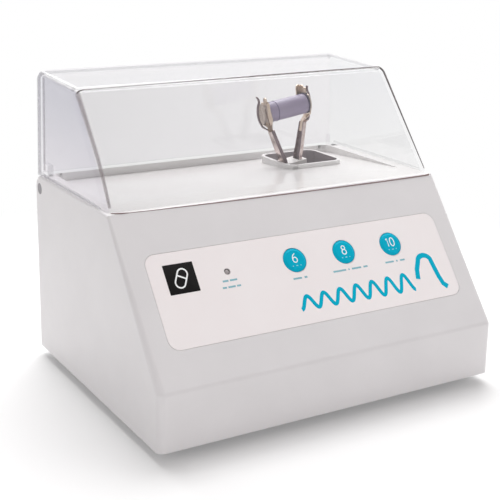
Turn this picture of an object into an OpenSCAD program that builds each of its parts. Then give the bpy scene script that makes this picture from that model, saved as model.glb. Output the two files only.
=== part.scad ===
// Capsule mixer for a dental surgery: a sloped desk-top housing with a clear hinged lid,
// and a motor that shakes a capsule in a two-armed fork by means of a skewed bush.
// The origin is on the table, under the middle of the housing. The front faces -Y.

/* [Housing] */
// Width at the foot of the housing
body_w = 210; // [189:1:240]
// Depth at the foot of the housing
body_d = 164; // [148:1:185]
// Height of the housing from its lower edge to the rim
body_h = 105; // [95:1:118]
// Height of the upright strip below the sloped front
lip_h = 30.6; // [22:0.2:34]
// How far the front leans back from the lip to the rim
slope_run = 59.4; // [52:0.2:62]
// How much each side leans in from foot to rim
side_draft = 1.3; // [0:0.1:3]
// How much the back leans in from foot to rim
back_draft = 0.9; // [0:0.1:2]
// Wall of the housing
wall = 3; // [2.5:0.1:4]
// Radius of the upright corners
corner_r = 4; // [2:0.5:8]
// Height of the rubber feet under the housing
foot_h = 6; // [4:0.5:10]
// Diameter of a rubber foot
foot_dia = 16; // [12:1:22]

/* [Tray] */
// Width of the rim at each side of the tray
rim_w = 9; // [8.5:0.5:12]
// Width of the rim behind the tray
rear_rim_w = 5; // [4.5:0.5:8]
// Depth of the tray at its back edge
tray_depth = 5; // [2:0.5:6]
// Thickness of the tray floor
deck_t = 3; // [2.5:0.1:4]
// Gap between the swinging fork and the opening at its sides
opening_gap = 1.3; // [1:0.1:3]
// Gap between the swinging fork and the opening at its front and back
opening_end_gap = 2.05; // [1.6:0.05:3]
// Wall of the collar round the fork opening
collar_w = 2; // [1.5:0.25:4]

/* [Lid] */
// Height of the lid over the rim
lid_h = 57; // [52:1:75]
// Wall of the lid
lid_wall = 2.5; // [2:0.1:3.5]
// How far the lid's foot stands inside the housing's side
lid_inset = 1; // [0.6:0.1:2]
// How much each side of the lid leans in
lid_draft = 1.9; // [1:0.1:6]
// How much higher the lid's top is at the back than at the front
lid_rise = 2.3; // [0:0.1:5]
// Outer radius of the lid's corners
lid_r = 5; // [4:0.5:8]
// Gap between the rim and the lid
lid_gap = 0.4; // [0.3:0.1:1]
// Depth of the hinge axis below the rim
hinge_drop = 7.5; // [7:0.1:9]
// Diameter of the hinge pins
hinge_pin_dia = 5; // [4:0.5:6]
// Thickness of the lid's hinge ears
ear_t = 3.5; // [3:0.1:3.8]

/* [Front panel] */
// Width of the label
label_w = 183.4; // [150:1:190]
// Height of the label, measured up the slope
label_l = 50.8; // [44:1:60]
// Distance from the lip up the slope to the middle of the label
label_s = 45.6; // [40:0.5:50]
// Thickness of the label
label_t = 0.6; // [0.4:0.1:1]
// Diameter of the keys
key_dia = 13.5; // [11:0.5:15]
// Distance between neighbouring keys
key_pitch = 31.75; // [20:0.25:36]
// Place of the first key, from the middle of the housing
key_x = -7.3; // [-20:0.1:0]
// Distance from the lip up the slope to the keys
key_s = 56; // [50:0.5:60]
// Travel of a key
key_travel = 0.4; // [0.2:0.1:0.6]
// Place of the indicator lamp, from the middle of the housing
lamp_x = -48.4; // [-60:0.1:-40]

/* [Drive] */
// Distance from the fork's hub to the inside of the right side wall
hub_inset = 43.2; // [41.2:0.1:46.7]
// Distance from the shaft to the inside of the back wall
shaft_inset = 31; // [28:0.1:34]
// Height of the shaft over the table
shaft_z = 55; // [52:0.5:60]
// Diameter of the shaft
shaft_dia = 8; // [6:0.5:9]
// Lean of the skewed bush on the shaft
skew = 8.5; // [6:0.5:9]
// Radial running gap between the shaft and its plain bearings
bush_play = 0.05; // [0.02:0.01:0.1]
// Outer diameter of the motor
motor_dia = 52; // [44:1:54]
// Length of the motor can
motor_l = 58; // [50:1:62]
// Distance from the motor's face to the hub
motor_gap = 37.5; // [33.5:0.5:43.5]

/* [Fork] */
// Height of the middle of the capsule over the rim
capsule_up = 32; // [28:0.5:34]
// Diameter of the capsule
capsule_dia = 12.2; // [10:0.1:13]
// Length of the capsule
capsule_l = 30.4; // [26:0.2:34]
// Width of an arm at its foot
arm_w = 7; // [5:0.5:9]
// Thickness of the arm strip
arm_t = 1.1; // [0.8:0.1:1.5]
// Lift of the capsule out of its clips
capsule_lift = 12; // [8:1:13]

/* [Hidden] */
$fn = 48;
HULL_FN = 32;
OVER = 1;

// Heights and edges of the housing
foot_z = foot_h;
lip_z = foot_z + lip_h;
rim_z = foot_z + body_h;
front_y = -body_d / 2;
back_y = body_d / 2;
slope_a = atan(slope_run / (body_h - lip_h));
rim_half_w = body_w / 2 - side_draft;
rim_back_y = back_y - back_draft;
inner_half_w = rim_half_w - wall;
inner_back_y = rim_back_y - wall - 0.1;
inner_front_y = front_y + wall;
rim_edge_r = 1.5;

// Places of the fork and the motor
hub_x = inner_half_w - hub_inset;
shaft_y = inner_back_y - shaft_inset;
motor_face_x = hub_x - motor_gap;
capsule_v = (rim_z + capsule_up - shaft_z) / cos(skew);
clamp_u = 8.6;
clamp_w = 6;
end_chamfer = 2;

// Hinge of the lid
hinge_y = rim_back_y - hinge_drop;
hinge_z = rim_z - hinge_drop;
ear_x = rim_half_w - wall - ear_t - 0.7;
ear_gap = 0.3;
ear_r = 4;
ear_tail = 6.5;
lug_h = 6;
pin_head_dia = hinge_pin_dia + 1.5;
pin_head_t = 0.8;
pin_end_x = ear_x - ear_gap - 3.2;
hinge_boss_t = 4.2;
magnet_dia = 4;
magnet_t = 2;

// Tray and fork opening
tray_half_w = rim_half_w - rim_w;
tray_front_y = front_y + slope_run + 17.6;
tray_back_y = rim_back_y - rear_rim_w;
tray_r = 6;
opening_x = hub_x;
opening_y = shaft_y + 0.9;
fork_swing = (rim_z - shaft_z) * tan(skew);
opening_w = 2 * (fork_swing + clamp_u + opening_gap);
opening_d = 2 * (fork_swing + clamp_w + opening_end_gap);
opening_r = 5;
collar_up = 0.3;

// Lid
lid_z = rim_z + lid_gap;
lid_top_z = rim_z + lid_h;
lid_half_w = rim_half_w - lid_inset;
lid_back_y = rim_back_y + 0.5;

// Base plate, its screws and the feet
base_t = 2;
base_z = foot_z + 0.5;
base_top = base_z + base_t;
base_gap = 0.3;
screw_dia = 3.2;
hole_dia = screw_dia + 0.3;
screw_head_dia = 6;
screw_head_t = 1.8;
boss_dia = 8;
boss_x = inner_half_w - 5.7;
boss_ys = [front_y + 12, back_y - 12];
boss_top = 17.5;
foot_side_inset = 23;
foot_end_inset = 26;
foot_x = body_w / 2 - foot_side_inset;
foot_ys = [front_y + foot_end_inset, back_y - foot_end_inset];
foot_boss_h = 4.5;
foot_well_dia = 7;
foot_well_h = 3;

// Front panel
label_r = 6;
label_gap = 0.2;
key_gap = 0.3;
key_cap_t = label_t;
key_dome = 0.5;
key_well = 1.2;
stub_dia = 4;
stub_end = wall + 1.1;
pad_z = -(wall + 6.6);
pad_t = 1.6;
pad_w = 137;
pad_l = 24;
pad_x = 7.5;
pad_post_dia = 6;
pad_edge = 4;
small_screw_dia = 2.4;
small_head_dia = 4.6;
small_head_t = 1.5;
tact_size = 6;
tact_h = 3.5;
tact_dome_h = 1.5;
lamp_dia = 3;

// Rear panel with the mains inlet and the power switch
rear_cut_w = 30;
rear_x = -inner_half_w + rear_cut_w / 2 + 3.7;
rear_cut_z = [16, 74];
panel_t = 1.5;
panel_lap = 3;
panel_y = inner_back_y - panel_t;
inlet_z = 31;
inlet_w = 26;
inlet_hh = 19;
inlet_flange = 1;
inlet_flange_t = 2;
inlet_depth = 17;
socket_w = 22.4;
socket_h = 15.4;
socket_depth = 15.5;
pin_w = 2;
pin_h = 4;
pin_l = 13;
switch_z = 60;
switch_w = 15;
switch_h = 23;
switch_depth = 15;
rocker_w = 11.6;
rocker_half_l = 9;
rocker_tilt = 8;
rocker_gap = 0.4;
rocker_y = inner_back_y - 2.4;

// Motor and its frame
frame_t = 2;
frame_z = 18;
frame_y = [shaft_y - 25, shaft_y + 25];
outboard_x = hub_x + 32.5;
outboard_inset = 8;
outboard_up = 12;
iso_dia = 10;
iso_y = [frame_y[0] + 6, frame_y[1] - 6];
can_t = 2;
end_cap_l = 8;
bush_dia = 14;
magnet_gap = 0.8;
magnet_wall = 3.5;
rotor_r = motor_dia / 2 - can_t - magnet_wall - magnet_gap;
slot_count = 12;
comm_l = 7;
comm_r = 9;
cap_x = motor_face_x - motor_l;
frame_x = [cap_x - end_cap_l - 12, hub_x + 40.5];
iso_x = [frame_x[0] + 6, frame_x[1] - 12];
comm_x = cap_x + 2.5;
rotor_x = comm_x + comm_l + 1.5;
rotor_l = motor_face_x - can_t - 4 - rotor_x;
holder_w = 8;
fan_l = 7;
fan_x = cap_x - end_cap_l - 2 - fan_l;
fan_r = 15;
fan_blades = 9;
shaft_x = [fan_x - 1, frame_x[1] - 1];
shaft_r = shaft_dia / 2;

// Hub, skewed bush and bearings
skew_r = 7.5;
skew_half_l = 11.5;
bearing_outer_r = 12;
bearing_w = 5;
ball_r = 1.3;
ball_play = 0.1;
ball_count = 11;
pitch_r = (skew_r + bearing_outer_r) / 2;
ring_gap = 1.3;
bearing_u = 7;
hub_r = 15.5;
hub_half_l = 10;
neck_u = 5;
neck_w = 7;
neck_top = capsule_v - 45;
lug_t = 3;
lug_v = 19;
lug_half_w = 12;
spring_w = 8;
spring_r = 3;
spring_wire = 0.8;
spring_turns = 7;
spring_top = -lug_v - 0.4;
spring_end = -32.5;
weight_r = 17;
weight_t = 5;
weight_hub_r = 8;
weight_flat = 4;
weight_x = [hub_x - 22, hub_x + 17];

// Arms, clips and capsule; u runs along the capsule, v up the fork, both from the hub
arm_u = neck_u + arm_t / 2;
clamp_h = 12;
clamp_play = 0.1;
clamp_slot_out = 0.5;
arm_foot_v = neck_top - 18;
arm_bend_v = neck_top + clamp_h - 1;
arm_neck_v = capsule_v - 11;
arm_neck_u = 12.2;
flange_h = 2.2;
flange_t = 0.9;
clamp_slot_in = flange_h - arm_t + 2 * clamp_play;
neck_half_w = 2.4;
strap_half_w = neck_half_w - flange_t - clamp_play;
leaf_half_w = 0.7;
clip_t = 0.8;
plate_half_w = 4.8;
plate_half_v = 6.2;
tongue_w = 4.4;
tongue_half_w = 1.6;
tongue_up = 10.6;
clip_gap = 0.3;
cup_u = capsule_l / 2 + clip_gap;
cradle_r = capsule_dia / 2 + 0.15;
// Outer leaves, left and right: how far they stand off the cup at their belly, neck and tip, and their height
leaf_out = [[5, 2.4, 3.6, 11], [3.6, 1.6, 1.7, 10.4]];
// Wings of the clips, left and right: distance inwards from the cup, and height from the capsule's axis
wing_left = [[-clip_t, -4.5], [-clip_t, 7.2], [0, 8.3], [0.8, 7], [1.1, 2], [2, -3.1], [1.4, -5.5], [0.2, -6]];
wing_right = [
    [-clip_t, -4.5], [-clip_t, 9.4], [-0.2, 10.5], [0.8, 10.8], [1.9, 10.2], [2.5, 8.8], [2.5, 4], [2, -3.1],
    [1.4, -5.5], [0.2, -6]
];
ledge_l = 2.4;
ledge_half_w = 3;
cap_l = 7.5;
cap_over = 5;

// Boards
board_z = base_top + 6;
board_t = 1.6;
board_top = board_z + board_t;
board_edge = 5;
core_w = 44;
core_side_inset = 28.7;
core_front_inset = 36;
core_x = inner_half_w - core_w / 2 - core_side_inset;
core_y = inner_front_y + core_front_inset;
board_side_inset = 12.7;
board_core_gap = 6;
board_front_inset = 7;
board_frame_gap = 12;
board_x = [board_side_inset - inner_half_w, core_x - core_w / 2 - board_core_gap];
board_y = [inner_front_y + board_front_inset, frame_y[0] - board_frame_gap];
core_d = 20;
core_h = 37;
coil_over = 8;
terminal_up = 10;
socket_up = 7;
terminal_w = 22;
terminal_d = 9;
terminal_x = board_x[0] + 26;
motor_terminal_w = 16;
motor_terminal_x = board_x[1] - 36;
terminal_y = board_y[1] - terminal_d - 3;
ribbon_socket_w = 16;
ribbon_x = board_x[1] - 14;
ribbon_y = inner_front_y + 17;
large_cap_r = 8;
large_cap_h = 26;
large_cap_gap = 6;
large_cap_pitch = 18.4;
large_cap_y = 24;
small_cap_r = 5;
small_cap_h = 14;
small_cap_edge = 12;
small_cap_pitch = 12;
small_cap_y = 42;
sink_w = 18;
sink_l = 36;
sink_h = 22;
sink_base_t = 3;
sink_edge = 7;
sink_y = 28;
fin_count = 6;
fin_t = 1.4;
fin_pitch = 3.3;
lead_r = 1.3;
motor_lead_r = 1.1;
ribbon_w = 14;
ribbon_t = 0.8;

// Inner offset of the slope line at height z, as a place along Y
function slope_y(z, inset) = front_y + inset / cos(slope_a) + (z - lip_z) * tan(slope_a);
// Height of the inner corner at the lip when both faces move in
function lip_inner_z(inset) = lip_z - inset * tan(slope_a / 2);
// Half width of the housing at height z
function half_w(z) = body_w / 2 - side_draft * (z - foot_z) / body_h;
// Height of the tray floor at a place along Y
function tray_floor_z(y) = rim_z - tray_depth * (y - tray_front_y) / (tray_back_y - tray_front_y);
// Point of a cubic curve
function bez(p, t) =
    (1 - t) ^ 3 * p[0] + 3 * t * (1 - t) ^ 2 * p[1] + 3 * t ^ 2 * (1 - t) * p[2] + t ^ 3 * p[3];
function unit(v) = v / norm(v);
// Left-hand normal of a path at point i
function path_normal(p, i) =
    let (a = p[max(i - 1, 0)], b = p[min(i + 1, len(p) - 1)], d = unit(b - a)) [-d[1], d[0]];

// Rounded rectangle, centred
module round_rect(w, d, r) {
    square([w, d - 2 * r], center = true);
    square([w - 2 * r, d], center = true);
    for (sx = [-1, 1], sy = [-1, 1]) translate([sx * (w / 2 - r), sy * (d / 2 - r)]) circle(r);
}

// Strip of even thickness along a flat path
module strip(path, t) {
    polygon(concat(
        [for (i = [0 : len(path) - 1]) path[i] + path_normal(path, i) * t / 2],
        [for (i = [len(path) - 1 : -1 : 0]) path[i] - path_normal(path, i) * t / 2]
    ));
}

// Solid with a side outline in Y and Z, centred on X
module side_solid(points, w) {
    rotate([90, 0, 90]) linear_extrude(w, center = true) polygon(points);
}

// Places children in the frame of the sloped front: x across, y up the slope, z outwards
module on_slope() {
    translate([0, front_y, lip_z]) rotate([90 - slope_a, 0, 0]) children();
}

// Places children in the frame of the leaning fork: x along the capsule, z up the fork
module in_fork() {
    translate([hub_x, shaft_y, shaft_z]) rotate([0, -skew, 0]) children();
}

// Turns an upright shape to lie along X
module along_x() {
    rotate([0, 90, 0]) children();
}

module both_sides() {
    children();
    mirror([1, 0, 0]) children();
}

// Screw that points along +Z, with its head below z = 0
module screw(dia, head_dia, head_t, l) {
    cylinder(d = dia, h = l);
    translate([0, 0, -head_t]) difference() {
        cylinder(d = head_dia, h = head_t);
        translate([0, 0, -OVER]) cylinder(d = dia * 0.9, h = OVER + head_t * 0.6, $fn = 6);
    }
}

// Housing

module housing_block() {
    hull() {
        for (sx = [-1, 1]) {
            for (y = [front_y + corner_r, back_y - corner_r])
                translate([sx * (body_w / 2 - corner_r), y, foot_z])
                    cylinder(r = corner_r, h = 1, $fn = HULL_FN);
            translate([sx * (half_w(lip_z) - corner_r), front_y + corner_r, lip_inner_z(corner_r)])
                sphere(corner_r, $fn = HULL_FN);
            edge_z = rim_z - rim_edge_r;
            translate([sx * (rim_half_w - rim_edge_r), slope_y(edge_z, rim_edge_r), edge_z])
                sphere(rim_edge_r, $fn = HULL_FN);
        }
        for (e = [[0, end_chamfer], [0.6, 0.6], [end_chamfer, 0]])
            translate([0, hinge_y, hinge_z]) along_x()
                cylinder(r = hinge_drop - e[0], h = 2 * (rim_half_w - e[1]), center = true, $fn = 64);
    }
}

module housing_cavity() {
    top_front_z = rim_z - deck_t;
    side_solid([
        [inner_front_y, foot_z - OVER],
        [inner_back_y, foot_z - OVER],
        [inner_back_y, rim_z - tray_depth - deck_t],
        [slope_y(top_front_z, wall), top_front_z],
        [inner_front_y, lip_inner_z(wall)]
    ], 2 * inner_half_w);
}

module tray_recess() {
    intersection() {
        translate([0, (tray_front_y + tray_back_y) / 2, rim_z - tray_depth - OVER])
            linear_extrude(tray_depth + 3 * OVER)
                round_rect(2 * tray_half_w, tray_back_y - tray_front_y, tray_r);
        side_solid([
            [tray_front_y - OVER, tray_floor_z(tray_front_y - OVER)],
            [tray_back_y + OVER, tray_floor_z(tray_back_y + OVER)],
            [tray_back_y + OVER, rim_z + 2 * OVER],
            [tray_front_y - OVER, rim_z + 2 * OVER]
        ], 2 * tray_half_w + OVER);
    }
}

module fork_collar() {
    translate([opening_x, opening_y, rim_z - tray_depth - deck_t])
        linear_extrude(tray_depth + deck_t + collar_up)
            round_rect(opening_w + 2 * collar_w, opening_d + 2 * collar_w, opening_r + collar_w);
}

module fork_opening() {
    translate([opening_x, opening_y, rim_z - tray_depth - deck_t - OVER])
        linear_extrude(tray_depth + deck_t + 3 * OVER) round_rect(opening_w, opening_d, opening_r);
}

// Room for one ear of the lid: a slot for its neck and a round pocket for its tail
module ear_slot() {
    x0 = ear_x - ear_gap;
    slot_w = inner_half_w - x0;
    reach = ear_r + ear_gap;
    translate([x0, hinge_y - reach, hinge_z - reach])
        cube([slot_w, back_y - hinge_y + reach + OVER, hinge_drop + reach + OVER]);
    translate([x0, hinge_y, hinge_z]) intersection() {
        along_x() cylinder(r = ear_tail + reach, h = slot_w);
        translate([0, -ear_tail - reach, -ear_tail - reach])
            cube([slot_w, ear_tail + 2 * reach, ear_tail + 2 * reach]);
    }
}

module hinge_boss() {
    x0 = ear_x - ear_gap - hinge_boss_t;
    translate([x0, hinge_y - 5, hinge_z - 6.5]) cube([hinge_boss_t, inner_back_y - hinge_y + 5, 8]);
}

module base_boss() {
    translate([0, 0, base_top]) cylinder(d = boss_dia, h = boss_top - base_top);
    translate([0, -2, base_top]) cube([inner_half_w - boss_x + 0.5, 4, boss_top - base_top]);
}

module housing_shell() {
    color("whitesmoke") difference() {
        union() {
            difference() {
                housing_block();
                housing_cavity();
                tray_recess();
            }
            fork_collar();
            both_sides() {
                hinge_boss();
                for (y = boss_ys) translate([boss_x, y, 0]) base_boss();
            }
            on_slope() for (x = pad_post_xs(), y = pad_post_ys())
                translate([x, y, pad_z]) cylinder(d = pad_post_dia, h = -pad_z - wall + 0.5);
        }
        fork_opening();
        both_sides() {
            ear_slot();
            translate([pin_end_x - 0.2, hinge_y, hinge_z]) along_x() cylinder(d = hinge_pin_dia, h = 30);
            translate([rim_half_w - pin_head_t, hinge_y, hinge_z]) along_x()
                cylinder(d = pin_head_dia, h = 10);
            for (y = boss_ys)
                translate([boss_x, y, 0]) cylinder(d = screw_dia, h = boss_top - OVER);
        }
        on_slope() {
            translate([0, label_s, -label_t])
                linear_extrude(5) round_rect(label_w + 2 * label_gap, label_l + 2 * label_gap, label_r);
            for (i = [0 : 2]) translate([key_x + i * key_pitch, key_s, 0]) {
                translate([0, 0, -label_t - key_well]) cylinder(d = key_dia + 2 * key_gap, h = 5);
                translate([0, 0, -wall - OVER]) cylinder(d = stub_dia + 2 * key_gap, h = 5);
            }
            translate([lamp_x, key_s, -wall - OVER]) cylinder(d = lamp_dia + 2 * key_gap, h = 5);
            for (x = pad_post_xs(), y = pad_post_ys())
                translate([x, y, pad_z - OVER]) cylinder(d = small_screw_dia, h = 6);
        }
        translate([rear_x - rear_cut_w / 2, inner_back_y - OVER, rear_cut_z[0]])
            cube([rear_cut_w, 10, rear_cut_z[1] - rear_cut_z[0]]);
        for (p = panel_screw_places()) translate([p[0], 0, p[1]]) rotate([-90, 0, 0])
            cylinder(d = small_screw_dia, h = inner_back_y + 2);
    }
}

function pad_post_xs() = [pad_x - pad_w / 2 + pad_edge, pad_x + pad_w / 2 - pad_edge];
function pad_post_ys() = [key_s - pad_l / 2 + pad_edge, key_s + pad_l / 2 - pad_edge];
function panel_screw_places() = [
    for (sx = [-1, 1], z = [rear_cut_z[0] - 2.6, rear_cut_z[1] + 2.6])
        [rear_x + sx * (rear_cut_w / 2 - 4), z]
];

module front_label() {
    color("snow") on_slope() translate([0, 0, -label_t]) linear_extrude(label_t) difference() {
        translate([0, label_s]) round_rect(label_w, label_l, label_r);
        for (i = [0 : 2]) translate([key_x + i * key_pitch, key_s]) circle(d = key_dia + 2 * key_gap);
        translate([lamp_x, key_s]) circle(d = lamp_dia + 2 * key_gap);
    }
}

// Membrane key: a shallow dome over a stub that reaches the switch under the wall
module front_key(i) {
    on_slope() translate([key_x + i * key_pitch, key_s, 0]) {
        translate([0, 0, -label_t]) cylinder(d = key_dia, h = key_cap_t);
        cylinder(d1 = key_dia - 1, d2 = key_dia - 3, h = key_dome);
        translate([0, 0, -stub_end]) cylinder(d = stub_dia, h = stub_end - label_t);
    }
}

module key_short() {
    color("darkturquoise") front_key(0);
}

module key_medium() {
    color("darkturquoise") front_key(1);
}

module key_long() {
    color("darkturquoise") front_key(2);
}

module indicator_led() {
    color("silver") on_slope() translate([lamp_x, key_s, 0]) {
        translate([0, 0, pad_z]) cylinder(d = lamp_dia + 0.8, h = 1);
        translate([0, 0, pad_z]) cylinder(d = lamp_dia, h = -pad_z - lamp_dia / 2);
        translate([0, 0, -lamp_dia / 2]) sphere(d = lamp_dia);
    }
}

module keypad_board() {
    color("seagreen") on_slope() translate([0, 0, pad_z - pad_t]) linear_extrude(pad_t) difference() {
        translate([pad_x, key_s]) square([pad_w, pad_l], center = true);
        for (x = pad_post_xs(), y = pad_post_ys()) translate([x, y]) circle(d = small_screw_dia);
    }
}

module tact_switches() {
    color("dimgray") on_slope() for (i = [0 : 2]) translate([key_x + i * key_pitch, key_s, pad_z]) {
        translate([-tact_size / 2, -tact_size / 2, 0]) cube([tact_size, tact_size, tact_h]);
        cylinder(d = 3.4, h = tact_h + tact_dome_h);
    }
}

// Base plate and feet

function iso_places() = [for (x = iso_x, y = iso_y) [x, y]];

module base_plate() {
    plate_w = 2 * (inner_half_w - base_gap);
    y0 = inner_front_y + base_gap;
    y1 = inner_back_y - base_gap;
    color("gainsboro") difference() {
        union() {
            translate([-plate_w / 2, y0, base_z]) cube([plate_w, y1 - y0, base_t]);
            for (sx = [-1, 1], y = foot_ys)
                translate([sx * foot_x, y, base_top - 0.1]) cylinder(d = boss_dia, h = foot_boss_h + 0.1);
        }
        for (sx = [-1, 1]) {
            for (y = boss_ys)
                translate([sx * boss_x, y, base_z - OVER]) cylinder(d = hole_dia, h = base_t + 2 * OVER);
            for (y = foot_ys)
                translate([sx * foot_x, y, base_z - OVER]) cylinder(d = hole_dia, h = foot_boss_h + OVER);
        }
        for (p = iso_places()) translate([p[0], p[1], base_z - OVER])
            cylinder(d = hole_dia, h = base_t + 2 * OVER);
        for (i = [-3 : 3]) translate([i * 10, shaft_y, base_z - OVER])
            linear_extrude(base_t + 2 * OVER) round_rect(3, 32, 1.5);
    }
}

module rubber_feet() {
    color("dimgray") for (sx = [-1, 1], y = foot_ys) translate([sx * foot_x, y, 0]) difference() {
        cylinder(d1 = foot_dia - 1.5, d2 = foot_dia, h = base_z);
        translate([0, 0, -OVER]) cylinder(d = foot_well_dia, h = foot_well_h + OVER);
        cylinder(d = screw_dia, h = base_z + OVER);
    }
}

module base_screws() {
    color("silver") for (sx = [-1, 1]) {
        for (y = boss_ys) translate([sx * boss_x, y, base_z])
            screw(screw_dia, screw_head_dia, screw_head_t, boss_top - base_z - OVER);
        for (y = foot_ys) translate([sx * foot_x, y, foot_well_h])
            screw(screw_dia, screw_head_dia, screw_head_t, base_top + foot_boss_h - 2 - foot_well_h);
    }
}

// Rear panel

module rear_panel() {
    z0 = rear_cut_z[0] - 5;
    z1 = rear_cut_z[1] + 5;
    color("lightgray") difference() {
        translate([rear_x - rear_cut_w / 2 - panel_lap, panel_y, z0])
            cube([rear_cut_w + 2 * panel_lap, panel_t, z1 - z0]);
        translate([rear_x - inlet_w / 2, panel_y - OVER, inlet_z - inlet_hh / 2])
            cube([inlet_w, 5, inlet_hh]);
        translate([rear_x - switch_w / 2, panel_y - OVER, switch_z - switch_h / 2])
            cube([switch_w, 5, switch_h]);
        for (p = panel_screw_places()) translate([p[0], panel_y - OVER, p[1]]) rotate([-90, 0, 0])
            cylinder(d = small_screw_dia, h = 5);
    }
}

module panel_screws() {
    color("silver") for (p = panel_screw_places()) translate([p[0], panel_y, p[1]]) rotate([-90, 0, 0])
        screw(small_screw_dia, small_head_dia, small_head_t, panel_t + 2);
}

module mains_inlet() {
    w = inlet_w + 2 * inlet_flange;
    h = inlet_hh + 2 * inlet_flange;
    color("black") difference() {
        union() {
            translate([rear_x - inlet_w / 2, inner_back_y - inlet_depth, inlet_z - inlet_hh / 2])
                cube([inlet_w, inlet_depth, inlet_hh]);
            translate([rear_x - w / 2, inner_back_y, inlet_z - h / 2]) cube([w, inlet_flange_t, h]);
        }
        translate([rear_x, inner_back_y + inlet_flange_t - socket_depth, inlet_z]) rotate([-90, 0, 0])
            linear_extrude(socket_depth + OVER) polygon([
                [-socket_w / 2, -socket_h / 2], [socket_w / 2, -socket_h / 2],
                [socket_w / 2, socket_h / 2 - 4], [socket_w / 2 - 4, socket_h / 2],
                [-socket_w / 2 + 4, socket_h / 2], [-socket_w / 2, socket_h / 2 - 4]
            ]);
    }
}

module inlet_pins() {
    y0 = inner_back_y + inlet_flange_t - socket_depth;
    color("silver") for (p = [[-7, 1.5], [0, -2.5], [7, 1.5]])
        translate([rear_x + p[0] - pin_w / 2, y0, inlet_z - p[1] - pin_h / 2]) cube([pin_w, pin_l, pin_h]);
}

module switch_frame() {
    w = switch_w + 2 * inlet_flange;
    h = switch_h + 2 * inlet_flange;
    well_w = rocker_w + 2 * rocker_gap;
    well_h = 2 * (norm([rocker_half_l, 4.2]) + rocker_gap);
    color("black") difference() {
        union() {
            translate([rear_x - switch_w / 2, inner_back_y - switch_depth, switch_z - switch_h / 2])
                cube([switch_w, switch_depth, switch_h]);
            translate([rear_x - w / 2, inner_back_y, switch_z - h / 2]) cube([w, 1.2, h]);
        }
        translate([rear_x - well_w / 2, rocker_y - 7.5, switch_z - well_h / 2]) cube([well_w, 20, well_h]);
    }
    color("black") for (sx = [-1, 1])
        translate([rear_x + sx * (rocker_w / 2 + rocker_gap), rocker_y, switch_z])
            along_x() cylinder(d = 2.4, h = 2 * rocker_gap - 0.1, center = true);
}

module power_rocker() {
    color("dimgray") translate([rear_x, rocker_y, switch_z]) rotate([-rocker_tilt, 0, 0]) difference() {
        side_solid([
            [-5.5, -6.5], [4.2, -rocker_half_l], [2.6, 0], [4.2, rocker_half_l], [-5.5, 6.5]
        ], rocker_w);
        for (sx = [-1, 1]) translate([sx * rocker_w / 2, 0, 0]) along_x()
            cylinder(d = 3, h = 2, center = true);
    }
}

// Hinge pins and lid

module hinge_pins() {
    color("gray") both_sides() translate([0, hinge_y, hinge_z]) {
        translate([pin_end_x, 0, 0]) along_x()
            cylinder(d = hinge_pin_dia, h = rim_half_w - pin_head_t - pin_end_x);
        translate([rim_half_w - pin_head_t, 0, 0]) along_x()
            cylinder(d = pin_head_dia, h = pin_head_t);
    }
}

// Half width of the lid at a height; its sides lean in
function lid_half_at(z) = lid_half_w - lid_draft * (z - lid_z) / (lid_top_z - lid_z);

module lid_block(inset, r) {
    back_y = lid_back_y - inset - r;
    front_z = lid_top_z - inset - r;
    back_z = front_z + lid_rise;
    hull() for (sx = [-1, 1], corner = [
        [slope_y(lid_z, inset + r), lid_z],
        [back_y, lid_z],
        [slope_y(front_z, inset + r), front_z],
        [back_y, back_z],
    ])
        translate([sx * (lid_half_at(corner[1]) - inset - r), corner[0], corner[1]])
            sphere(r, $fn = HULL_FN);
}

// Outline of a hinge ear in Y and Z, from its round foot up into the lid
module ear_outline() {
    circle(ear_r);
    translate([0, -ear_tail]) circle(ear_r);
    translate([-ear_r, -ear_tail]) square([2 * ear_r, ear_tail]);
    translate([-ear_r, 0]) square([2 * ear_r, hinge_drop + lid_gap + 1]);
}

module lid_ear() {
    lug_w = lid_half_w - lid_wall / 2 - ear_x;
    translate([ear_x, hinge_y, hinge_z]) rotate([90, 0, 90]) linear_extrude(ear_t) ear_outline();
    translate([ear_x, hinge_y - ear_r, lid_z]) cube([lug_w - 0.4, 2 * ear_r, lug_h]);
}

module lid_shell() {
    color("white", 0.35) difference() {
        union() {
            difference() {
                lid_block(0, lid_r);
                lid_block(lid_wall, lid_r - lid_wall);
                translate([-body_w, -body_d, lid_z - 50]) cube([2 * body_w, 2 * body_d, 50]);
            }
            both_sides() lid_ear();
        }
        both_sides() translate([ear_x - OVER, hinge_y, hinge_z]) along_x()
            cylinder(r = hinge_pin_dia / 2 + bush_play, h = ear_t + 2 * OVER);
        translate([-ear_x - magnet_t, hinge_y, hinge_z - ear_tail]) along_x()
            cylinder(d = magnet_dia, h = magnet_t + OVER);
    }
}

module lid_magnet() {
    color("silver") translate([-ear_x - magnet_t, hinge_y, hinge_z - ear_tail]) along_x()
        cylinder(d = magnet_dia, h = magnet_t);
}

module reed_switch() {
    tube_r = 1.2;
    x = tube_r - (ear_x - ear_gap - hinge_boss_t);
    translate([x, hinge_y, hinge_z - 4]) rotate([-90, 0, 0]) {
        color("lightcyan") translate([0, 0, -5]) cylinder(r = tube_r, h = 8);
        color("silver") translate([0, 0, -6.2]) cylinder(r = 0.4, h = 10.4);
    }
}

// Motor

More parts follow.
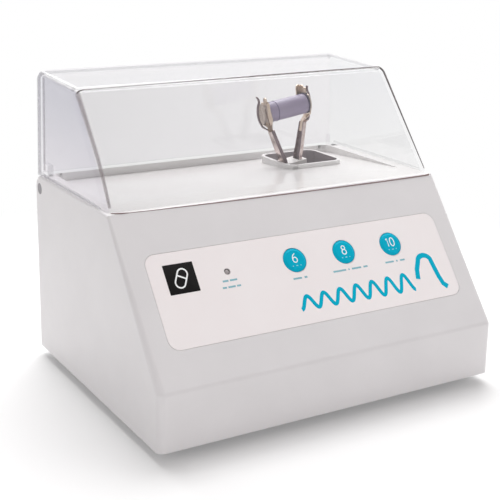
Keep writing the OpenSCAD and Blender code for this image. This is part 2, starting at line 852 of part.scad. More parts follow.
module motor_frame() {
    y0 = frame_y[0];
    w = frame_y[1] - frame_y[0];
    color("lightsteelblue") difference() {
        union() {
            translate([frame_x[0], y0, frame_z]) cube([frame_x[1] - frame_x[0], w, frame_t]);
            translate([motor_face_x, y0, frame_z]) cube([frame_t, w, shaft_z + motor_dia / 2 - frame_z]);
            translate([outboard_x, y0 + outboard_inset, frame_z])
                cube([frame_t, w - 2 * outboard_inset, shaft_z + outboard_up - frame_z]);
            for (y = [shaft_y - spring_w, shaft_y + spring_w])
                translate([spring_foot_x(), y, frame_z + frame_t - 0.1])
                    cylinder(r = 1.2, h = spring_foot_z() - frame_z - frame_t);
        }
        translate([motor_face_x - OVER, shaft_y, shaft_z]) along_x() cylinder(d = bush_dia, h = 100);
        for (a = [45 : 90 : 315]) translate([motor_face_x - OVER, shaft_y, shaft_z]) rotate([a, 0, 0])
            translate([0, motor_dia / 2 - 6, 0]) along_x() cylinder(d = screw_dia, h = frame_t + 2 * OVER);
        for (p = iso_places()) translate([p[0], p[1], frame_z - OVER]) cylinder(d = screw_dia, h = 10);
    }
}

function spring_foot_x() = hub_x - spring_end * sin(skew);
function spring_foot_z() = shaft_z + spring_end * cos(skew) - spring_wire;

module isolators() {
    color("black") for (p = iso_places()) translate([p[0], p[1], base_top]) difference() {
        cylinder(d = iso_dia, h = frame_z - base_top);
        translate([0, 0, -OVER]) cylinder(d = screw_dia, h = frame_z - base_top + 2 * OVER);
    }
}

module isolator_screws() {
    color("silver") for (p = iso_places()) translate([p[0], p[1], frame_z + frame_t]) rotate([180, 0, 0])
        screw(screw_dia, screw_head_dia, screw_head_t, frame_z + frame_t - base_z);
}

module motor_can() {
    r = motor_dia / 2;
    color("slategray") translate([cap_x, shaft_y, shaft_z]) along_x() difference() {
        cylinder(r = r, h = motor_l);
        translate([0, 0, -OVER]) cylinder(r = r - can_t, h = motor_l - can_t + OVER);
        cylinder(d = bush_dia, h = motor_l + OVER);
        for (a = [45 : 90 : 315]) rotate([0, 0, a]) translate([r - 6, 0, motor_l - can_t - OVER])
            cylinder(d = screw_dia, h = 10);
        for (a = [90, 270]) rotate([0, 0, a])
            translate([r - can_t - OVER, -holder_w / 2, comm_x - cap_x + (comm_l - holder_w) / 2])
                cube([10, holder_w, holder_w]);
    }
}

module motor_end_cap() {
    color("dimgray") translate([cap_x - end_cap_l, shaft_y, shaft_z]) along_x() difference() {
        cylinder(r = motor_dia / 2, h = end_cap_l);
        translate([0, 0, 3]) cylinder(r = motor_dia / 2 - can_t - 1, h = end_cap_l);
        translate([0, 0, -OVER]) cylinder(d = bush_dia, h = 30);
        for (a = [0 : 45 : 315]) rotate([0, 0, a]) translate([15, 0, -OVER]) cylinder(d = 5, h = 10);
    }
}

module motor_screws() {
    color("silver") translate([motor_face_x + frame_t, shaft_y, shaft_z]) for (a = [45 : 90 : 315])
        rotate([a, 0, 0]) translate([0, motor_dia / 2 - 6, 0]) rotate([0, -90, 0])
            screw(screw_dia, screw_head_dia, screw_head_t, frame_t + can_t + 2);
}

module field_magnets() {
    r = motor_dia / 2 - can_t;
    color("darkslategray") translate([rotor_x, shaft_y, shaft_z]) along_x() for (a = [0, 180])
        rotate([0, 0, a - 65]) rotate_extrude(angle = 130)
            translate([r - magnet_wall, 0]) square([magnet_wall, rotor_l]);
}

module brush_holders() {
    color("goldenrod") translate([comm_x + comm_l / 2, shaft_y, shaft_z]) for (s = [-1, 1]) difference() {
        translate([-holder_w / 2, s > 0 ? comm_r + 2 : -motor_dia / 2 - 2, -holder_w / 2])
            cube([holder_w, motor_dia / 2 - comm_r, holder_w]);
        translate([-2.5, s > 0 ? 0 : -motor_dia / 2, -2.5]) cube([5, motor_dia / 2, 5]);
    }
}

module carbon_brushes() {
    l = motor_dia / 2 - comm_r - 4;
    color("black") translate([comm_x + comm_l / 2, shaft_y, shaft_z]) for (s = [-1, 1])
        translate([-2.4, s > 0 ? comm_r + 0.3 : -comm_r - 0.3 - l, -2.4]) cube([4.8, l, 4.8]);
}

module shaft_bushes() {
    places = [cap_x - end_cap_l, motor_face_x - can_t, outboard_x - 2];
    lengths = [end_cap_l, can_t + frame_t + 3, frame_t + 4];
    color("peru") for (i = [0 : 2]) translate([places[i], shaft_y, shaft_z]) along_x() difference() {
        cylinder(d = bush_dia, h = lengths[i]);
        translate([0, 0, -OVER]) cylinder(r = shaft_r + bush_play, h = lengths[i] + 2 * OVER);
    }
}

module drive_shaft() {
    color("silver") translate([shaft_x[0], shaft_y, shaft_z]) along_x()
        cylinder(r = shaft_r, h = shaft_x[1] - shaft_x[0]);
}

module rotor_core() {
    color("lightslategray") translate([rotor_x, shaft_y, shaft_z]) along_x()
        linear_extrude(rotor_l) difference() {
            circle(rotor_r);
            circle(shaft_r);
            for (i = [0 : slot_count - 1]) rotate(i * 360 / slot_count)
                translate([rotor_r - 7, -1.2]) square([10, 2.4]);
        }
}

module commutator() {
    color("chocolate") translate([comm_x, shaft_y, shaft_z]) along_x()
        linear_extrude(comm_l) difference() {
            circle(comm_r);
            circle(shaft_r);
            for (i = [0 : slot_count - 1]) rotate(i * 360 / slot_count)
                translate([comm_r - 1.2, -0.25]) square([3, 0.5]);
        }
}

module cooling_fan() {
    color("whitesmoke") translate([fan_x, shaft_y, shaft_z]) along_x() difference() {
        union() {
            cylinder(r = 9, h = fan_l);
            cylinder(r = fan_r, h = 1.2);
            for (i = [0 : fan_blades - 1]) rotate([0, 0, i * 360 / fan_blades]) translate([8, -0.6, 0])
                cube([fan_r - 8.5, 1.2, fan_l]);
        }
        translate([0, 0, -OVER]) cylinder(r = shaft_r, h = fan_l + 2 * OVER);
    }
}

// Skewed bush and its bearings

module skew_bush() {
    color("darkgray") difference() {
        in_fork() along_x() cylinder(r = skew_r, h = 2 * skew_half_l, center = true);
        translate([hub_x, shaft_y, shaft_z]) along_x() cylinder(r = shaft_r, h = 60, center = true);
    }
}

module bearing_places() {
    in_fork() for (u = [-bearing_u, bearing_u]) translate([u, 0, 0]) along_x() children();
}

// One ring of a ball bearing, with its groove
module bearing_ring(r0, r1) {
    difference() {
        cylinder(r = r1, h = bearing_w, center = true);
        cylinder(r = r0, h = bearing_w + 2 * OVER, center = true);
        rotate_extrude() translate([pitch_r, 0]) circle(ball_r + ball_play);
    }
}

module bearing_inner_rings() {
    color("silver") bearing_places() bearing_ring(skew_r, pitch_r - ring_gap / 2);
}

module bearing_outer_rings() {
    color("silver") bearing_places() bearing_ring(pitch_r + ring_gap / 2, bearing_outer_r);
}

module bearing_balls() {
    color("gainsboro") bearing_places() for (i = [0 : ball_count - 1])
        rotate([0, 0, i * 360 / ball_count]) translate([pitch_r, 0, 0]) sphere(ball_r);
}

module counterweights() {
    color("gray") for (i = [0, 1]) translate([weight_x[i], shaft_y, shaft_z]) along_x() difference() {
        union() {
            cylinder(r = weight_hub_r, h = weight_t);
            rotate([0, 0, i * 180]) intersection() {
                cylinder(r = weight_r, h = weight_t);
                translate([weight_flat, -weight_r, 0]) cube([weight_r, 2 * weight_r, weight_t]);
            }
        }
        translate([0, 0, -OVER]) cylinder(r = shaft_r, h = weight_t + 2 * OVER);
    }
}

// Fork

module fork_hub() {
    color("whitesmoke") in_fork() difference() {
        union() {
            along_x() cylinder(r = hub_r, h = 2 * hub_half_l, center = true);
            translate([-neck_u, -neck_w, 0]) cube([2 * neck_u, 2 * neck_w, neck_top]);
            translate([-lug_t / 2, -lug_half_w, -lug_v]) cube([lug_t, 2 * lug_half_w, lug_v]);
        }
        along_x() cylinder(r = pitch_r + ring_gap / 2, h = 4 * hub_half_l, center = true);
        for (s = [-1, 1]) translate([s * (bearing_u + hub_half_l - bearing_w / 2), 0, 0]) along_x()
            cylinder(r = bearing_outer_r, h = 2 * hub_half_l, center = true);
        for (v = arm_screw_vs()) translate([0, 0, v]) along_x()
            cylinder(d = small_screw_dia, h = 4 * neck_u, center = true);
    }
}

function arm_screw_vs() = [arm_foot_v + 4, arm_foot_v + 13];

module arm_clamp() {
    color("white") in_fork() translate([0, 0, neck_top]) linear_extrude(clamp_h) difference() {
        round_rect(2 * clamp_u, 2 * clamp_w, 1.5);
        for (s = [-1, 1]) translate([s * (arm_u + (clamp_slot_out - clamp_slot_in) / 2), 0])
            square([arm_t + clamp_slot_in + clamp_slot_out, arm_w + 2 * clamp_play], center = true);
    }
}

// Centre line of the right arm, from its foot to the neck under the clip
function arm_path() = concat(
    [[arm_u, arm_foot_v], [arm_u, arm_bend_v - 2]],
    [for (t = [0.25 : 0.25 : 1]) bez([[arm_u, arm_bend_v - 2], [arm_u, arm_bend_v + 2],
        [arm_u + 0.8, arm_bend_v + 4], [arm_u + 2, arm_bend_v + 7]], t)],
    [[arm_neck_u, arm_neck_v]]
);

// Centre line of the outer leaf, from the neck round the capsule's end to the flared tip
function leaf_path(out) = let (mid = [cup_u + out[1], capsule_v + 7]) [
    for (t = [0 : 0.1 : 1]) bez([[arm_neck_u, arm_neck_v], [cup_u + out[0], capsule_v - 9],
        [cup_u + out[0], capsule_v + 3], mid], t),
    for (t = [0.25 : 0.25 : 1]) bez([mid, mid + [-0.4, 1], mid + [-0.2, 2.4],
        [cup_u + out[2], capsule_v + out[3]]], t)
];

module arm(side) {
    in_fork() mirror([side > 0 ? 0 : 1, 0, 0]) difference() {
        union() {
            intersection() {
                rotate([90, 0, 0]) linear_extrude(30, center = true) strip(arm_path(), arm_t);
                arm_front_limit(arm_w / 2, neck_half_w);
            }
            intersection() {
                rotate([90, 0, 0]) linear_extrude(30, center = true)
                    strip([for (p = slice_from(arm_path(), 2)) p - [(flange_h - arm_t) / 2, 0]], flange_h);
                difference() {
                    arm_front_limit(arm_w / 2, neck_half_w);
                    arm_front_limit(arm_w / 2 - flange_t, neck_half_w - flange_t);
                }
            }
            intersection() {
                rotate([90, 0, 0]) linear_extrude(30, center = true)
                    strip(leaf_path(leaf_out[side > 0 ? 1 : 0]), clip_t);
                leaf_front_limit();
            }
        }
        for (v = arm_screw_vs()) translate([0, 0, v]) along_x() cylinder(d = small_screw_dia, h = 60);
    }
}

function slice_from(p, n) = [for (i = [n : len(p) - 1]) p[i]];

// Front outline that narrows an arm from its foot to its neck
module arm_front_limit(w0, w1) {
    translate([-10, 0, 0]) rotate([90, 0, 90]) linear_extrude(60) polygon([
        [-w0, arm_foot_v - OVER], [w0, arm_foot_v - OVER], [w0, arm_bend_v], [w1, arm_neck_v + OVER],
        [-w1, arm_neck_v + OVER], [-w0, arm_bend_v]
    ]);
}

// Front outline of the narrow outer leaf
module leaf_front_limit() {
    translate([-10, 0, 0]) rotate([90, 0, 90]) linear_extrude(60) polygon([
        [-neck_half_w, arm_neck_v - OVER], [neck_half_w, arm_neck_v - OVER],
        [neck_half_w, arm_neck_v + 1], [leaf_half_w, arm_neck_v + 4], [leaf_half_w, capsule_v + 20],
        [-leaf_half_w, capsule_v + 20], [-leaf_half_w, arm_neck_v + 4], [-neck_half_w, arm_neck_v + 1]
    ]);
}

module arm_left() {
    color("rosybrown") arm(-1);
}

module arm_right() {
    color("rosybrown") arm(1);
}

module arm_screws() {
    l = 2 * (neck_u + arm_t);
    color("silver") in_fork() for (v = arm_screw_vs()) translate([-neck_u - arm_t, 0, v]) {
        along_x() screw(small_screw_dia, small_head_dia, small_head_t, l);
        translate([l, 0, 0]) along_x() cylinder(d = small_head_dia, h = small_head_t, $fn = 6);
    }
}

// Strap of a clip: flat on the inner face of its arm, then out to the foot of the cup
function clip_strap_path(r) =
    let (p = [arm_neck_u, arm_neck_v], q = arm_path()[len(arm_path()) - 2], d = unit(p - q),
        side = [-d[1], d[0]] * (arm_t + clip_t) / 2)
    [p - 6 * d + side, p + 0.5 * d + side, [cup_u + clip_t / 2, capsule_v - r - clip_t / 2]];

// Front outline of a clip: narrow in the neck, round behind the capsule's end, with a tongue on top
module clip_front_limit(wing) {
    translate([-10, 0, 0]) rotate([90, 0, 90]) linear_extrude(60) union() {
        translate([-strap_half_w, arm_neck_v - 10]) square([2 * strap_half_w, 10.8]);
        polygon([
            [-strap_half_w, arm_neck_v + 0.6], [strap_half_w, arm_neck_v + 0.6],
            [plate_half_w * 0.75, capsule_v - plate_half_v * 0.66],
            [-plate_half_w * 0.75, capsule_v - plate_half_v * 0.66]
        ]);
        translate([0, capsule_v]) scale([plate_half_w, plate_half_v]) circle(1);
        translate([0, capsule_v + wing[0][1]]) square([cradle_r + clip_t, wing[1][1] - wing[0][1]]);
        translate([tongue_w - tongue_half_w, capsule_v])
            square([2 * tongue_half_w, tongue_up - tongue_half_w]);
        translate([tongue_w, capsule_v + tongue_up - tongue_half_w]) circle(tongue_half_w);
    }
}

// Clip at one end of the capsule: a plate with a tongue on top, a ledge below and a wing on one side.
// The left clip is turned round, so that its wing stands in front of the capsule.
module clip(turn, wing) {
    r = cradle_r;
    mid_u = cup_u + clip_t / 2;
    in_fork() rotate([0, 0, turn]) {
        intersection() {
            rotate([90, 0, 0]) linear_extrude(30, center = true) strip(concat(clip_strap_path(r), [
                [mid_u, capsule_v + plate_half_v], [mid_u + 0.1, capsule_v + tongue_up + OVER]
            ]), clip_t);
            clip_front_limit(wing);
        }
        translate([0, r + clip_t, capsule_v]) rotate([90, 0, 0]) linear_extrude(clip_t)
            polygon([for (p = wing) [cup_u - p[0], p[1]]]);
        translate([cup_u - ledge_l, 0, capsule_v]) along_x() intersection() {
            difference() {
                cylinder(r = r + clip_t, h = ledge_l + clip_t / 2);
                translate([0, 0, -OVER]) cylinder(r = r, h = 10);
            }
            translate([0, -ledge_half_w, 0]) cube([30, 2 * ledge_half_w, 10]);
        }
    }
}

module clip_left() {
    color("tan") clip(180, wing_left);
}

module clip_right() {
    color("tan") clip(0, wing_right);
}

module fork_springs() {
    color("silver") in_fork() for (w = [-spring_w, spring_w]) translate([0, w, 0])
        helix(spring_r, spring_wire / 2, spring_end, spring_top, spring_turns);
}

// Round wire wound into a helix from height z0 to z1
module helix(r, wire_r, z0, z1, turns) {
    steps = 10 * turns;
    sides = 6;
    rise = (z1 - z0 - 2 * wire_r) / steps;
    points = [
        for (i = [0 : steps], j = [0 : sides - 1])
            let (a = i * 36, b = j * 360 / sides, c = r + wire_r * cos(b))
                [c * cos(a), c * sin(a), z0 + wire_r + i * rise + wire_r * sin(b)]
    ];
    skin = [
        for (i = [0 : steps - 1], j = [0 : sides - 1])
            let (k = (j + 1) % sides, p = i * sides, q = p + sides)
                each [[p + j, q + k, p + k], [p + j, q + j, q + k]]
    ];
    ends = [
        for (j = [1 : sides - 2]) [0, j, j + 1],
        for (j = [1 : sides - 2]) [steps * sides, steps * sides + j + 1, steps * sides + j]
    ];
    polyhedron(points, concat(skin, ends));
}

// Capsule

module capsule_body() {
    r = capsule_dia / 2;
    half = capsule_l / 2;
    seam = -half + cap_l;
    color("thistle") in_fork() translate([0, 0, capsule_v]) along_x() rotate_extrude() polygon([
        [0, seam - cap_over], [r - 1, seam - cap_over], [r - 1, seam], [r, seam], [r, half - 2.2],
        [r - 0.7, half - 0.9], [r - 2, half - 0.2], [2, half], [0, half]
    ]);
}

module capsule_cap() {
    r = capsule_dia / 2;
    half = capsule_l / 2;
    seam = -half + cap_l;
    color("mediumpurple") in_fork() translate([0, 0, capsule_v]) along_x() rotate_extrude() polygon([
        [0, -half], [2, -half], [r - 2, -half + 0.2], [r - 0.7, -half + 0.9], [r, -half + 2.2],
        [r, seam - 0.2], [r - 1, seam - 0.2], [r - 1, seam - cap_over], [0, seam - cap_over]
    ]);
}

// Boards and wiring

function board_hole_places() = [
    for (x = [board_x[0] + board_edge, board_x[1] - board_edge])
        for (y = [board_y[0] + board_edge, board_y[1] - board_edge]) [x, y]
];

module control_board() {
    color("darkgreen") difference() {
        translate([board_x[0], board_y[0], board_z])
            cube([board_x[1] - board_x[0], board_y[1] - board_y[0], board_t]);
        for (p = board_hole_places()) translate([p[0], p[1], board_z - OVER])
            cylinder(d = small_screw_dia, h = 10);
    }
    color("green") {
        translate([terminal_x, terminal_y, board_top]) cube([terminal_w, terminal_d, terminal_up]);
        translate([motor_terminal_x, terminal_y, board_top])
            cube([motor_terminal_w, terminal_d, terminal_up]);
        translate([ribbon_x - ribbon_socket_w / 2, ribbon_y - 2.5, board_top])
            cube([ribbon_socket_w, 5, socket_up]);
    }
}

module board_standoffs() {
    color("goldenrod") for (p = board_hole_places()) translate([p[0], p[1], base_top]) difference() {
        cylinder(d = 6, h = board_z - base_top);
        cylinder(d = small_screw_dia, h = 20);
    }
}

module board_screws() {
    color("silver") {
        for (p = board_hole_places()) translate([p[0], p[1], board_top]) rotate([180, 0, 0])
            screw(small_screw_dia, small_head_dia, small_head_t, board_t + 3);
        on_slope() for (x = pad_post_xs(), y = pad_post_ys()) translate([x, y, pad_z - pad_t])
            screw(small_screw_dia, small_head_dia, small_head_t, pad_t + 4);
    }
}

module transformer_core() {
    color("dimgray") translate([core_x, core_y, base_top + core_h / 2]) rotate([90, 0, 0])
        linear_extrude(core_d, center = true) difference() {
            square([core_w, core_h], center = true);
            for (s = [-1, 1]) translate([s * core_w / 4, 0])
                square([core_w / 5, core_h * 0.6], center = true);
        }
}

module transformer_coil() {
    inner_w = core_w * 0.3;
    color("darkorange") translate([core_x, core_y, base_top + core_h / 2]) difference() {
        cube([core_w * 0.7 - 0.4, core_d + 2 * coil_over, core_h * 0.6 - 0.4], center = true);
        cube([inner_w, core_d, core_h], center = true);
        for (s = [-1, 1]) translate([s * (core_w * 0.35 + 5), 0, 0])
            cube([10, core_d, core_h], center = true);
    }
}

module capacitor(r, h) {
    cylinder(r = r, h = h - 1);
    cylinder(r = r - 0.8, h = h);
}

module capacitors() {
    large_x = ribbon_x - ribbon_socket_w / 2 - large_cap_gap - large_cap_r;
    small_x = board_x[1] - small_cap_edge;
    color("midnightblue") for (i = [0, 1]) {
        translate([large_x - i * large_cap_pitch, board_y[0] + large_cap_y, board_top])
            capacitor(large_cap_r, large_cap_h);
        translate([small_x - i * small_cap_pitch, board_y[0] + small_cap_y, board_top])
            capacitor(small_cap_r, small_cap_h);
    }
}

module heatsink() {
    color("silver") translate([board_x[0] + sink_edge, board_y[0] + sink_y, board_top]) {
        cube([sink_w, sink_l, sink_base_t]);
        for (i = [0 : fin_count - 1]) translate([i * fin_pitch, 0, 0]) cube([fin_t, sink_l, sink_h]);
    }
}

// Round lead through a list of points
module lead(points, r) {
    for (i = [0 : len(points) - 2]) {
        d = points[i + 1] - points[i];
        translate(points[i]) rotate([0, acos(d[2] / norm(d)), atan2(d[1], d[0])])
            cylinder(r = r, h = norm(d));
    }
    for (i = [1 : len(points) - 2]) translate(points[i]) sphere(r);
}

module power_leads() {
    back = inner_back_y - inlet_depth;
    end_z = board_top + terminal_up;
    x0 = terminal_x + 5;
    x1 = terminal_x + 14;
    x2 = motor_terminal_x + 6;
    y = terminal_y + 5;
    color("saddlebrown") lead([
        [rear_x - 5, back, inlet_z], [rear_x - 5, y + 17, inlet_z], [x0, y + 17, end_z + 16],
        [x0, y, end_z + 8], [x0, y, end_z]
    ], lead_r);
    color("steelblue") lead([
        [rear_x + 5, back, inlet_z], [rear_x + 5, y + 27, inlet_z], [x1, y + 12, end_z + 12],
        [x1, y, end_z + 8], [x1, y, end_z]
    ], lead_r);
    brush_x = comm_x + comm_l / 2;
    brush_y = shaft_y - motor_dia / 2 - 2;
    color("firebrick") lead([
        [brush_x, brush_y, shaft_z], [brush_x, brush_y - 5, shaft_z], [x2, y + 5, end_z + 18],
        [x2, y, end_z + 6], [x2, y, end_z]
    ], motor_lead_r);
}

module ribbon_cable() {
    under = pad_z - pad_t - ribbon_t / 2;
    edge = key_s - pad_l / 2;
    start = slope_point(edge + 8, under);
    leave = slope_point(edge - 2, under);
    socket_z = board_top + socket_up;
    path = concat(
        [start],
        [for (t = [0 : 0.2 : 1]) bez([leave, slope_point(edge - 12, under), [ribbon_y + 14, socket_z + 24],
            [ribbon_y + 8, socket_z + 14]], t)],
        [for (t = [0.25 : 0.25 : 1]) bez([[ribbon_y + 8, socket_z + 14], [ribbon_y + 4, socket_z + 8],
            [ribbon_y, socket_z + 8], [ribbon_y, socket_z + 3]], t)],
        [[ribbon_y, socket_z]]
    );
    color("lightgray") translate([ribbon_x, 0, 0]) rotate([90, 0, 90])
        linear_extrude(ribbon_w, center = true) strip(path, ribbon_t);
}

// Place in Y and Z of a point given in the frame of the sloped front
function slope_point(s, n) = [
    front_y + s * sin(slope_a) - n * cos(slope_a),
    lip_z + s * cos(slope_a) + n * sin(slope_a)
];

housing_shell();
front_label();
base_plate();
base_screws();
rubber_feet();
hinge_pins();
rear_panel();
panel_screws();
mains_inlet();
inlet_pins();
switch_frame();
power_rocker();
motor_frame();
isolators();
isolator_screws();
motor_can();
motor_end_cap();
motor_screws();
field_magnets();
brush_holders();
carbon_brushes();
shaft_bushes();
control_board();
board_standoffs();
board_screws();
transformer_core();
transformer_coil();
capacitors();
heatsink();
keypad_board();
tact_switches();
indicator_led();
reed_switch();
power_leads();
ribbon_cable();
fork_springs();
lid_shell();
lid_magnet();
key_short();
key_medium();
key_long();
drive_shaft();
rotor_core();
commutator();
cooling_fan();
skew_bush();
bearing_inner_rings();
counterweights();
fork_hub();
bearing_outer_rings();
bearing_balls();
arm_clamp();
arm_left();
arm_right();
arm_screws();
clip_left();
clip_right();
capsule_body();
capsule_cap();
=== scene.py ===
"""Looks of a bench capsule mixer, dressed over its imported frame.

Lengths are in millimetres until a mesh is placed.
"""
import math

import bmesh
import bpy
from mathutils import Matrix, Vector


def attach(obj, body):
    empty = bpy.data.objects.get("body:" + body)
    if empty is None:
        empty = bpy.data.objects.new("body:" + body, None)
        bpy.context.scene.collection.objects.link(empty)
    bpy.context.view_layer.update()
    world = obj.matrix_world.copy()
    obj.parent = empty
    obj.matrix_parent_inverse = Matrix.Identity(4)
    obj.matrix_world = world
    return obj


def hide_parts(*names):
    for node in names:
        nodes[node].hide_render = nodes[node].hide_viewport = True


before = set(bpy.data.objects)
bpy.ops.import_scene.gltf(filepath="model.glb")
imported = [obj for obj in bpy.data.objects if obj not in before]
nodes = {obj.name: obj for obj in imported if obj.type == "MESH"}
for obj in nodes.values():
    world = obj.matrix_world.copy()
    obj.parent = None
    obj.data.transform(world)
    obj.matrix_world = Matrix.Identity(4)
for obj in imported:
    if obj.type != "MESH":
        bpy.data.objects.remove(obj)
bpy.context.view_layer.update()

scene = bpy.context.scene
MM = 0.001

# Sizes repeated from the part's source: the slope's foot and its lean from upright
LIP_Z = 36.6
FRONT_Y = -82.0
SLOPE_A = math.atan2(59.4, 74.4)
# The middle of the tray's opening, seen from above, and half its width and depth with the rounding
OPENING = Vector((57.5, 47.9))
OPENING_HALF_W, OPENING_HALF_D = 18.6, 16.8
# The fork: its hub, its lean, the height where its arms narrow, and the capsule's height and radius
HUB = Vector((57.5, 47.0, 55.0))
SKEW = math.radians(8.5)
NECK_V = 77.98
CAPSULE_V = 88.98
CAPSULE_R = 6.1
# The keys' middles along the slope and how far their faces stand out of it
KEY_XS = (-7.3, 24.45, 56.2)
KEY_S = 56.0
KEY_FACE = 0.5

slope_frame = (
    Matrix.Translation((0, FRONT_Y, LIP_Z)) @ Matrix.Rotation(math.pi / 2 - SLOPE_A, 4, "X")
)
fork_frame = Matrix.Translation(HUB) @ Matrix.Rotation(-SKEW, 4, "Y")


# Materials


def colour(code):
    """Linear RGBA of an sRGB hex value."""
    parts = [int(code[i : i + 2], 16) / 255 for i in (0, 2, 4)]
    return [c / 12.92 if c <= 0.04045 else ((c + 0.055) / 1.055) ** 2.4 for c in parts] + [1.0]


def add(tree, kind, inputs=None, **settings):
    """Adds a node; an input given as a socket is linked, any other value is set."""
    made = tree.nodes.new(kind)
    for name, value in settings.items():
        setattr(made, name, value)
    for name, value in (inputs or {}).items():
        if isinstance(value, bpy.types.NodeSocket):
            tree.links.new(value, made.inputs[name])
        else:
            made.inputs[name].default_value = value
    return made


def empty_material(name):
    """A material without nodes, and its node tree."""
    made = bpy.data.materials.new(name)
    made.use_nodes = True
    made.node_tree.nodes.clear()
    return made, made.node_tree


def surface(
    name, hex_a, hex_b, roughness, *, rough_span=0.05, tone_mm=30.0, grain_mm=0.6, bump_mm=0.02,
    stretch=(1, 1, 1), metallic=0.0, coat=0.0, ior=1.5, specular=0.5,
):
    """A solid finish: two close tones in soft patches, and a fine grain in its gloss and relief."""
    made, tree = empty_material(name)
    place = add(tree, "ShaderNodeTexCoord").outputs["Object"]
    grain_place = add(tree, "ShaderNodeMapping", {"Vector": place, "Scale": stretch}).outputs["Vector"]
    tone = add(tree, "ShaderNodeTexNoise", {"Vector": place, "Scale": 1000 / tone_mm, "Detail": 3.0})
    grain = add(
        tree, "ShaderNodeTexNoise",
        {"Vector": grain_place, "Scale": 1000 / grain_mm, "Detail": 2.0, "Roughness": 0.6},
    )
    ramp = add(tree, "ShaderNodeValToRGB", {"Fac": tone.outputs["Fac"]})
    ramp.color_ramp.elements[0].position = 0.35
    ramp.color_ramp.elements[0].color = colour(hex_a)
    ramp.color_ramp.elements[1].position = 0.65
    ramp.color_ramp.elements[1].color = colour(hex_b)
    gloss = add(
        tree, "ShaderNodeMapRange",
        {"Value": grain.outputs["Fac"], "From Min": 0.3, "From Max": 0.7,
         "To Min": max(roughness - rough_span, 0.02), "To Max": roughness + rough_span},
    )
    relief = add(
        tree, "ShaderNodeBump",
        {"Height": grain.outputs["Fac"], "Strength": 0.5, "Distance": bump_mm * MM},
    )
    shader = add(
        tree, "ShaderNodeBsdfPrincipled",
        {"Base Color": ramp.outputs["Color"], "Roughness": gloss.outputs["Result"],
         "Normal": relief.outputs["Normal"], "Metallic": metallic, "Coat Weight": coat,
         "IOR": ior, "Specular IOR Level": specular},
    )
    add(tree, "ShaderNodeOutputMaterial", {"Surface": shader.outputs["BSDF"]})
    return made


def ink(name, hex_a, hex_b, roughness=0.35, **more):
    """A screen-printed ink: even in tone, a little glossier than the film under it."""
    return surface(name, hex_a, hex_b, roughness, grain_mm=0.3, bump_mm=0.004, **more)


# Moulded ABS, spark-eroded outside: off-white, a fine satin grain about 0.5 mm across
abs_white = surface("moulded_abs_white", "dfddde", "e2e0e1", 0.34, grain_mm=0.5, bump_mm=0.003)
# The same ABS, polished in the tray: glossier, its grain wiped smooth, and lighter in colour as painted
# light on the upward tray
abs_tray_painted_light = surface("moulded_abs_tray_painted_light", "e9e7e6", "ecebea", 0.2, grain_mm=0.8, bump_mm=0.001)
# Polyester label film: whiter than the housing, faintly warm, satin
label_film = surface("printed_polyester_film", "f7f1f1", "f8f3f3", 0.35, grain_mm=0.35, bump_mm=0.002)
# Screen-printed ink, cyan; the keys are moulded in the same colour
ink_cyan = ink("screen_ink_cyan", "06b0ce", "0ab4d2", 0.4, specular=0.05)
# Screen-printed ink, white
ink_white = ink("screen_ink_white", "f4f6f6", "fafbfb")
# The same inks, thinner: the short bars under the lamp and the keys, and on the keys
ink_pale_teal = ink("screen_ink_pale_teal", "7fb6c3", "8cbcc8")
ink_soft_white = ink("screen_ink_soft_white", "9ad6e2", "a6dbe6")
# Screen-printed ink, black
ink_black = ink("screen_ink_black", "151313", "1a1818", 0.3, specular=0.1)
# Moulded nylon of the clamp and the hub: milky white, dull
nylon = surface("moulded_nylon", "e9e7e4", "efedea", 0.5, grain_mm=0.8, bump_mm=0.01, specular=0.4)
# Moulded polypropylene of the base plate: plain mid grey, dull
polypropylene = surface("moulded_polypropylene", "9a9b9c", "a3a4a5", 0.55, grain_mm=0.8, bump_mm=0.015)
# Moulded rubber of the feet and isolators: near black, matte
rubber = surface("moulded_rubber", "161616", "1e1e1e", 0.85, grain_mm=0.5, bump_mm=0.02, specular=0.3)
# Moulded nylon, black, of the inlet and the switch
black_nylon = surface("moulded_nylon_black", "141414", "1b1b1b", 0.42, grain_mm=0.5, bump_mm=0.01)
# Powder-coated sheet steel of the rear panel: light grey, orange-peel about 1 mm across
powder_coat = surface("powder_coated_steel", "c2c4c5", "c9cbcc", 0.45, grain_mm=1.0, bump_mm=0.02)
# Zinc-plated steel of screws and frames: bluish grey, brushed fine
zinc_steel = surface(
    "zinc_plated_steel", "a9abad", "b7b9bb", 0.32, grain_mm=0.4, bump_mm=0.006, metallic=1.0, tone_mm=6
)
# Ground steel of the shaft and bearings: bright, fine rings
ground_steel = surface(
    "ground_steel", "b4b4b5", "c2c2c3", 0.18, grain_mm=0.3, bump_mm=0.003, metallic=1.0, tone_mm=8
)
# Turned steel of the hinge pins: dull grey
turned_steel = surface(
    "turned_steel", "8b888b", "979497", 0.4, grain_mm=0.3, bump_mm=0.004, metallic=1.0, tone_mm=5
)
# Moulded ABS inside the opening, darker as painted shade where little light reaches
abs_painted_shade = surface("moulded_abs_inside_painted_shade", "a89ea3", "b1a7ac", 0.45, grain_mm=0.8, bump_mm=0.004)
# Nickel-plated spring steel of the arms: warm grey, drawn lengthwise
spring_steel = surface(
    "nickel_plated_spring_steel", "bba9a5", "d3c5c1", 0.24, rough_span=0.08, grain_mm=0.25,
    bump_mm=0.006, stretch=(1, 1, 0.12), metallic=1.0, tone_mm=4,
)
# The same steel, darker, as painted shade and painted dark reflection: inside the arms' channels and
# along their edges
steel_painted_shade = surface(
    "spring_steel_painted_shade", "6b5b60", "85757a", 0.35, rough_span=0.08, grain_mm=0.25,
    bump_mm=0.006, stretch=(1, 1, 0.12), metallic=0.8, tone_mm=4,
)
# Creases of the folded clips, darkened as painted shade
crease_painted_shade = surface("clip_crease_painted_shade", "5d4238", "745447", 0.5, grain_mm=0.2, bump_mm=0.004, metallic=0.4)
